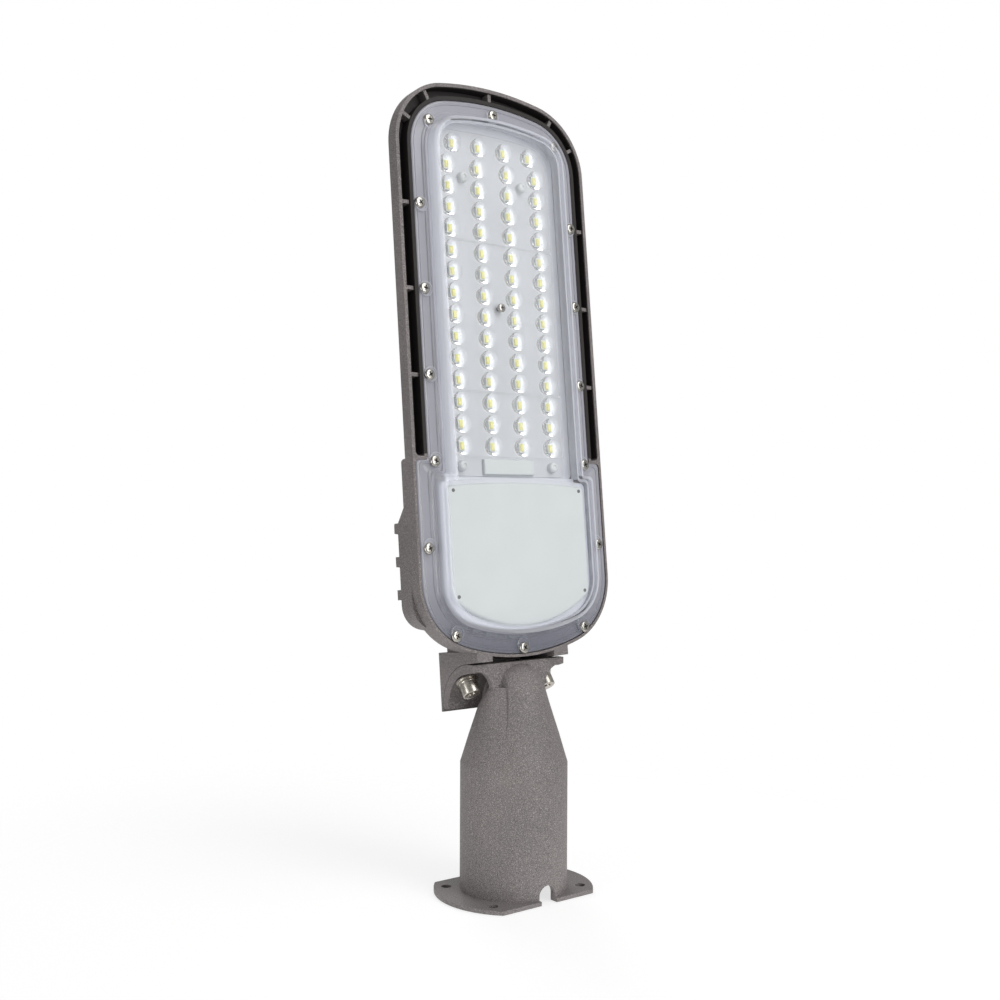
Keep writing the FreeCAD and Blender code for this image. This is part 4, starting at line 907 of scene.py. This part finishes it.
# %% [markdown]
# Channel in the rim. Between the open rim and the lamp body runs a narrow channel, almost black in its
# depth. A thin liner closes it at the back and also lines the channel's two walls and the lamp body's
# front edge; its near-black colour is painted shade. It is a U section carried from one end of the gap,
# over the top, to the other end, so it is extruded from section to section.

# %% Channel liner in painted shade
CHANNEL_SECTION = [(75.55, 3.6), (75.55, -4.1), (69.25, -4.1), (69.25, 4.41), (66.9, 4.41), (66.9, 4.6),
                   (69.45, 4.6), (69.45, -3.5), (75.35, -3.5), (75.35, 3.6)]
CHANNEL_END = -98.9
RIM_HALF_W, RIM_TOP, RIM_BOW, RIM_CORNER_R = 78.0, 148.2, 223.0, 45.0
TOP_INSET_SHARE = 1.02


def channel_outline(half_w):
    inset = RIM_HALF_W - half_w
    down = inset * TOP_INSET_SHARE
    high = top_half(half_w, RIM_TOP - down, RIM_BOW - down, RIM_CORNER_R - inset)
    right = line((half_w, CHANNEL_END), high[0], SIDE_STEPS * 3) + high
    return right + [(0.0, RIM_TOP - down)] + [(-x, s) for x, s in reversed(right)]


walls = [[on_face(x, s, n) for x, s in channel_outline(half_w)] for half_w, n in CHANNEL_SECTION]
stations = [list(station) for station in zip(*walls)]
channel = shell_from_rings(stations)
# The channel sheet's near-black finish is painted shade.
finish_piece(channel, "rim_channel_shade", [CHANNEL_SHADE])

# %% [markdown]
# Each node of the frame gets its finish by name.

# %% Finishes on the frame
FINISH_OF = {
    "head_housing": COAT, "pole_adapter": COAT, "clear_cover": COVER_EDGE, "cover_gasket": SEAL,
    "cover_screws": STEEL, "led_board": BOARD, "thermal_pad": PAD, "led_chips": CHIP, "board_posts": WHITE,
    "board_centre_screw": STEEL, "board_connector": WHITE, "driver_cover": WHITE,
    "driver_cover_pins": BLACK_AND_SHADOW, "driver": WHITE, "driver_screws": STEEL, "earth_screw": BRASS,
    "terminal_block": WHITE, "terminal_screws": STEEL, "gland_body": PLATED, "gland_cap": PLATED,
    "gland_seal": SEAL, "gland_nut": PLATED, "breather_vent": BLACK_AND_SHADOW, "clamp_bolts": STEEL,
    "flat_washers": STEEL, "spring_washers": STEEL, "pole_set_screws": STEEL,
    "lens_plate_upper": LENS_SHEET, "lens_plate_middle": LENS_SHEET, "lens_plate_lower": LENS_SHEET,
}
for name, finish in FINISH_OF.items():
    piece = nodes[name]
    if not piece.material_slots:
        piece.data.materials.append(finish)
    for material_slot in piece.material_slots:
        material_slot.material = finish
print(len(FINISH_OF), "nodes finished, missing", sorted(set(nodes) - set(FINISH_OF)))

# %% [markdown]
# Studio. The photograph is a cut-out on white. A pale disk lies under the flange and fades into
# the white surroundings before its edge, so the object has a floor to stand on and no horizon
# cuts the picture, from any side. Four large soft lights stand in front, above, behind and at the
# left. A dark spot on the floor shades each hole of the flange.


# %% Floor and lights
FLOOR_R = 3.0
FLOOR_FADE = 0.55
HOLE_X, HOLE_Y, SPOT_R = 0.0358, 0.025, 0.0046
SURROUND = 0.36


def make_floor():
    bpy.ops.object.select_all(action="DESELECT")
    bpy.ops.mesh.primitive_circle_add(vertices=96, radius=FLOOR_R, fill_type="NGON",
                                      location=(0, 0, -0.0005))
    floor = bpy.context.object
    floor.name = "floor"
    material, tree, shader = start_material("floor_paper", (0.35, 0.35, 0.35), 0.9)
    shader.inputs["Emission Color"].default_value = (1.0, 1.0, 1.0, 1.0)
    shader.inputs["Emission Strength"].default_value = 0.72
    place = add_node(tree, "ShaderNodeTexCoord")
    far = add_node(tree, "ShaderNodeVectorMath", operation="LENGTH")
    fade = add_node(tree, "ShaderNodeMapRange", interpolation_type="SMOOTHSTEP")
    fade.inputs["From Min"].default_value = FLOOR_FADE * 0.25
    fade.inputs["From Max"].default_value = FLOOR_FADE
    clear = add_node(tree, "ShaderNodeBsdfTransparent")
    mix = add_node(tree, "ShaderNodeMixShader")
    tree.links.new(place.outputs["Object"], far.inputs[0])
    tree.links.new(far.outputs["Value"], fade.inputs["Value"])
    tree.links.new(fade.outputs["Result"], mix.inputs["Fac"])
    tree.links.new(shader.outputs["BSDF"], mix.inputs[1])
    tree.links.new(clear.outputs["BSDF"], mix.inputs[2])
    tree.links.new(mix.outputs["Shader"], tree.nodes["Material Output"].inputs["Surface"])
    floor.data.materials.append(material)


def hole_shade(x, y):
    """Dark spot on the floor under a flange hole, where the flange's contact keeps the light out."""
    bpy.ops.object.select_all(action="DESELECT")
    bpy.ops.mesh.primitive_circle_add(vertices=24, radius=SPOT_R, fill_type="NGON",
                                      location=(x, y, -0.0003))
    spot = bpy.context.object
    spot.name = "hole_shade"
    # The spot is a painted shadow in the black finish.
    spot.data.materials.append(BLACK_AND_SHADOW)


def area_light(name, place, aim, size, power):
    data = bpy.data.lights.new(name, "AREA")
    data.shape = "RECTANGLE"
    data.size, data.size_y = size
    data.energy = power
    light = bpy.data.objects.new(name, data)
    bpy.context.scene.collection.objects.link(light)
    light.location = place
    light.rotation_euler = (Vector(aim) - Vector(place)).to_track_quat("-Z", "Y").to_euler()


def make_world():
    """White to the camera, and dimmer as a light, so that the lamps give the shapes their shade."""
    world = bpy.data.worlds.new("studio")
    world.use_nodes = True
    tree = world.node_tree
    surround = tree.nodes["Background"]
    surround.inputs["Strength"].default_value = SURROUND
    surround.inputs["Color"].default_value = (1.0, 1.0, 1.0, 1.0)
    paper = add_node(tree, "ShaderNodeBackground", Color=(1.0, 1.0, 1.0, 1.0), Strength=1.0)
    path = add_node(tree, "ShaderNodeLightPath")
    mix = add_node(tree, "ShaderNodeMixShader")
    tree.links.new(path.outputs["Is Camera Ray"], mix.inputs["Fac"])
    tree.links.new(surround.outputs["Background"], mix.inputs[1])
    tree.links.new(paper.outputs["Background"], mix.inputs[2])
    tree.links.new(mix.outputs["Shader"], tree.nodes["World Output"].inputs["Surface"])
    bpy.context.scene.world = world


make_world()
make_floor()
for x in (-HOLE_X, HOLE_X):
    for y in (-HOLE_Y, HOLE_Y):
        hole_shade(x, y)
area_light("key", (0.30, -1.45, 0.60), (0, 0, 0.26), (0.7, 1.0), 8.3)
area_light("top", (0.25, -0.85, 1.3), (0, 0, 0.2), (0.8, 0.8), 6.0)
area_light("back", (0.5, 1.4, 0.9), (0, 0, 0.26), (0.8, 0.8), 6.0)
area_light("fill", (-1.5, -0.1, 0.1), (0, 0, 0.25), (0.4, 1.0), 5.5)
bpy.context.scene.view_settings.view_transform = "Standard"
print("studio ready")
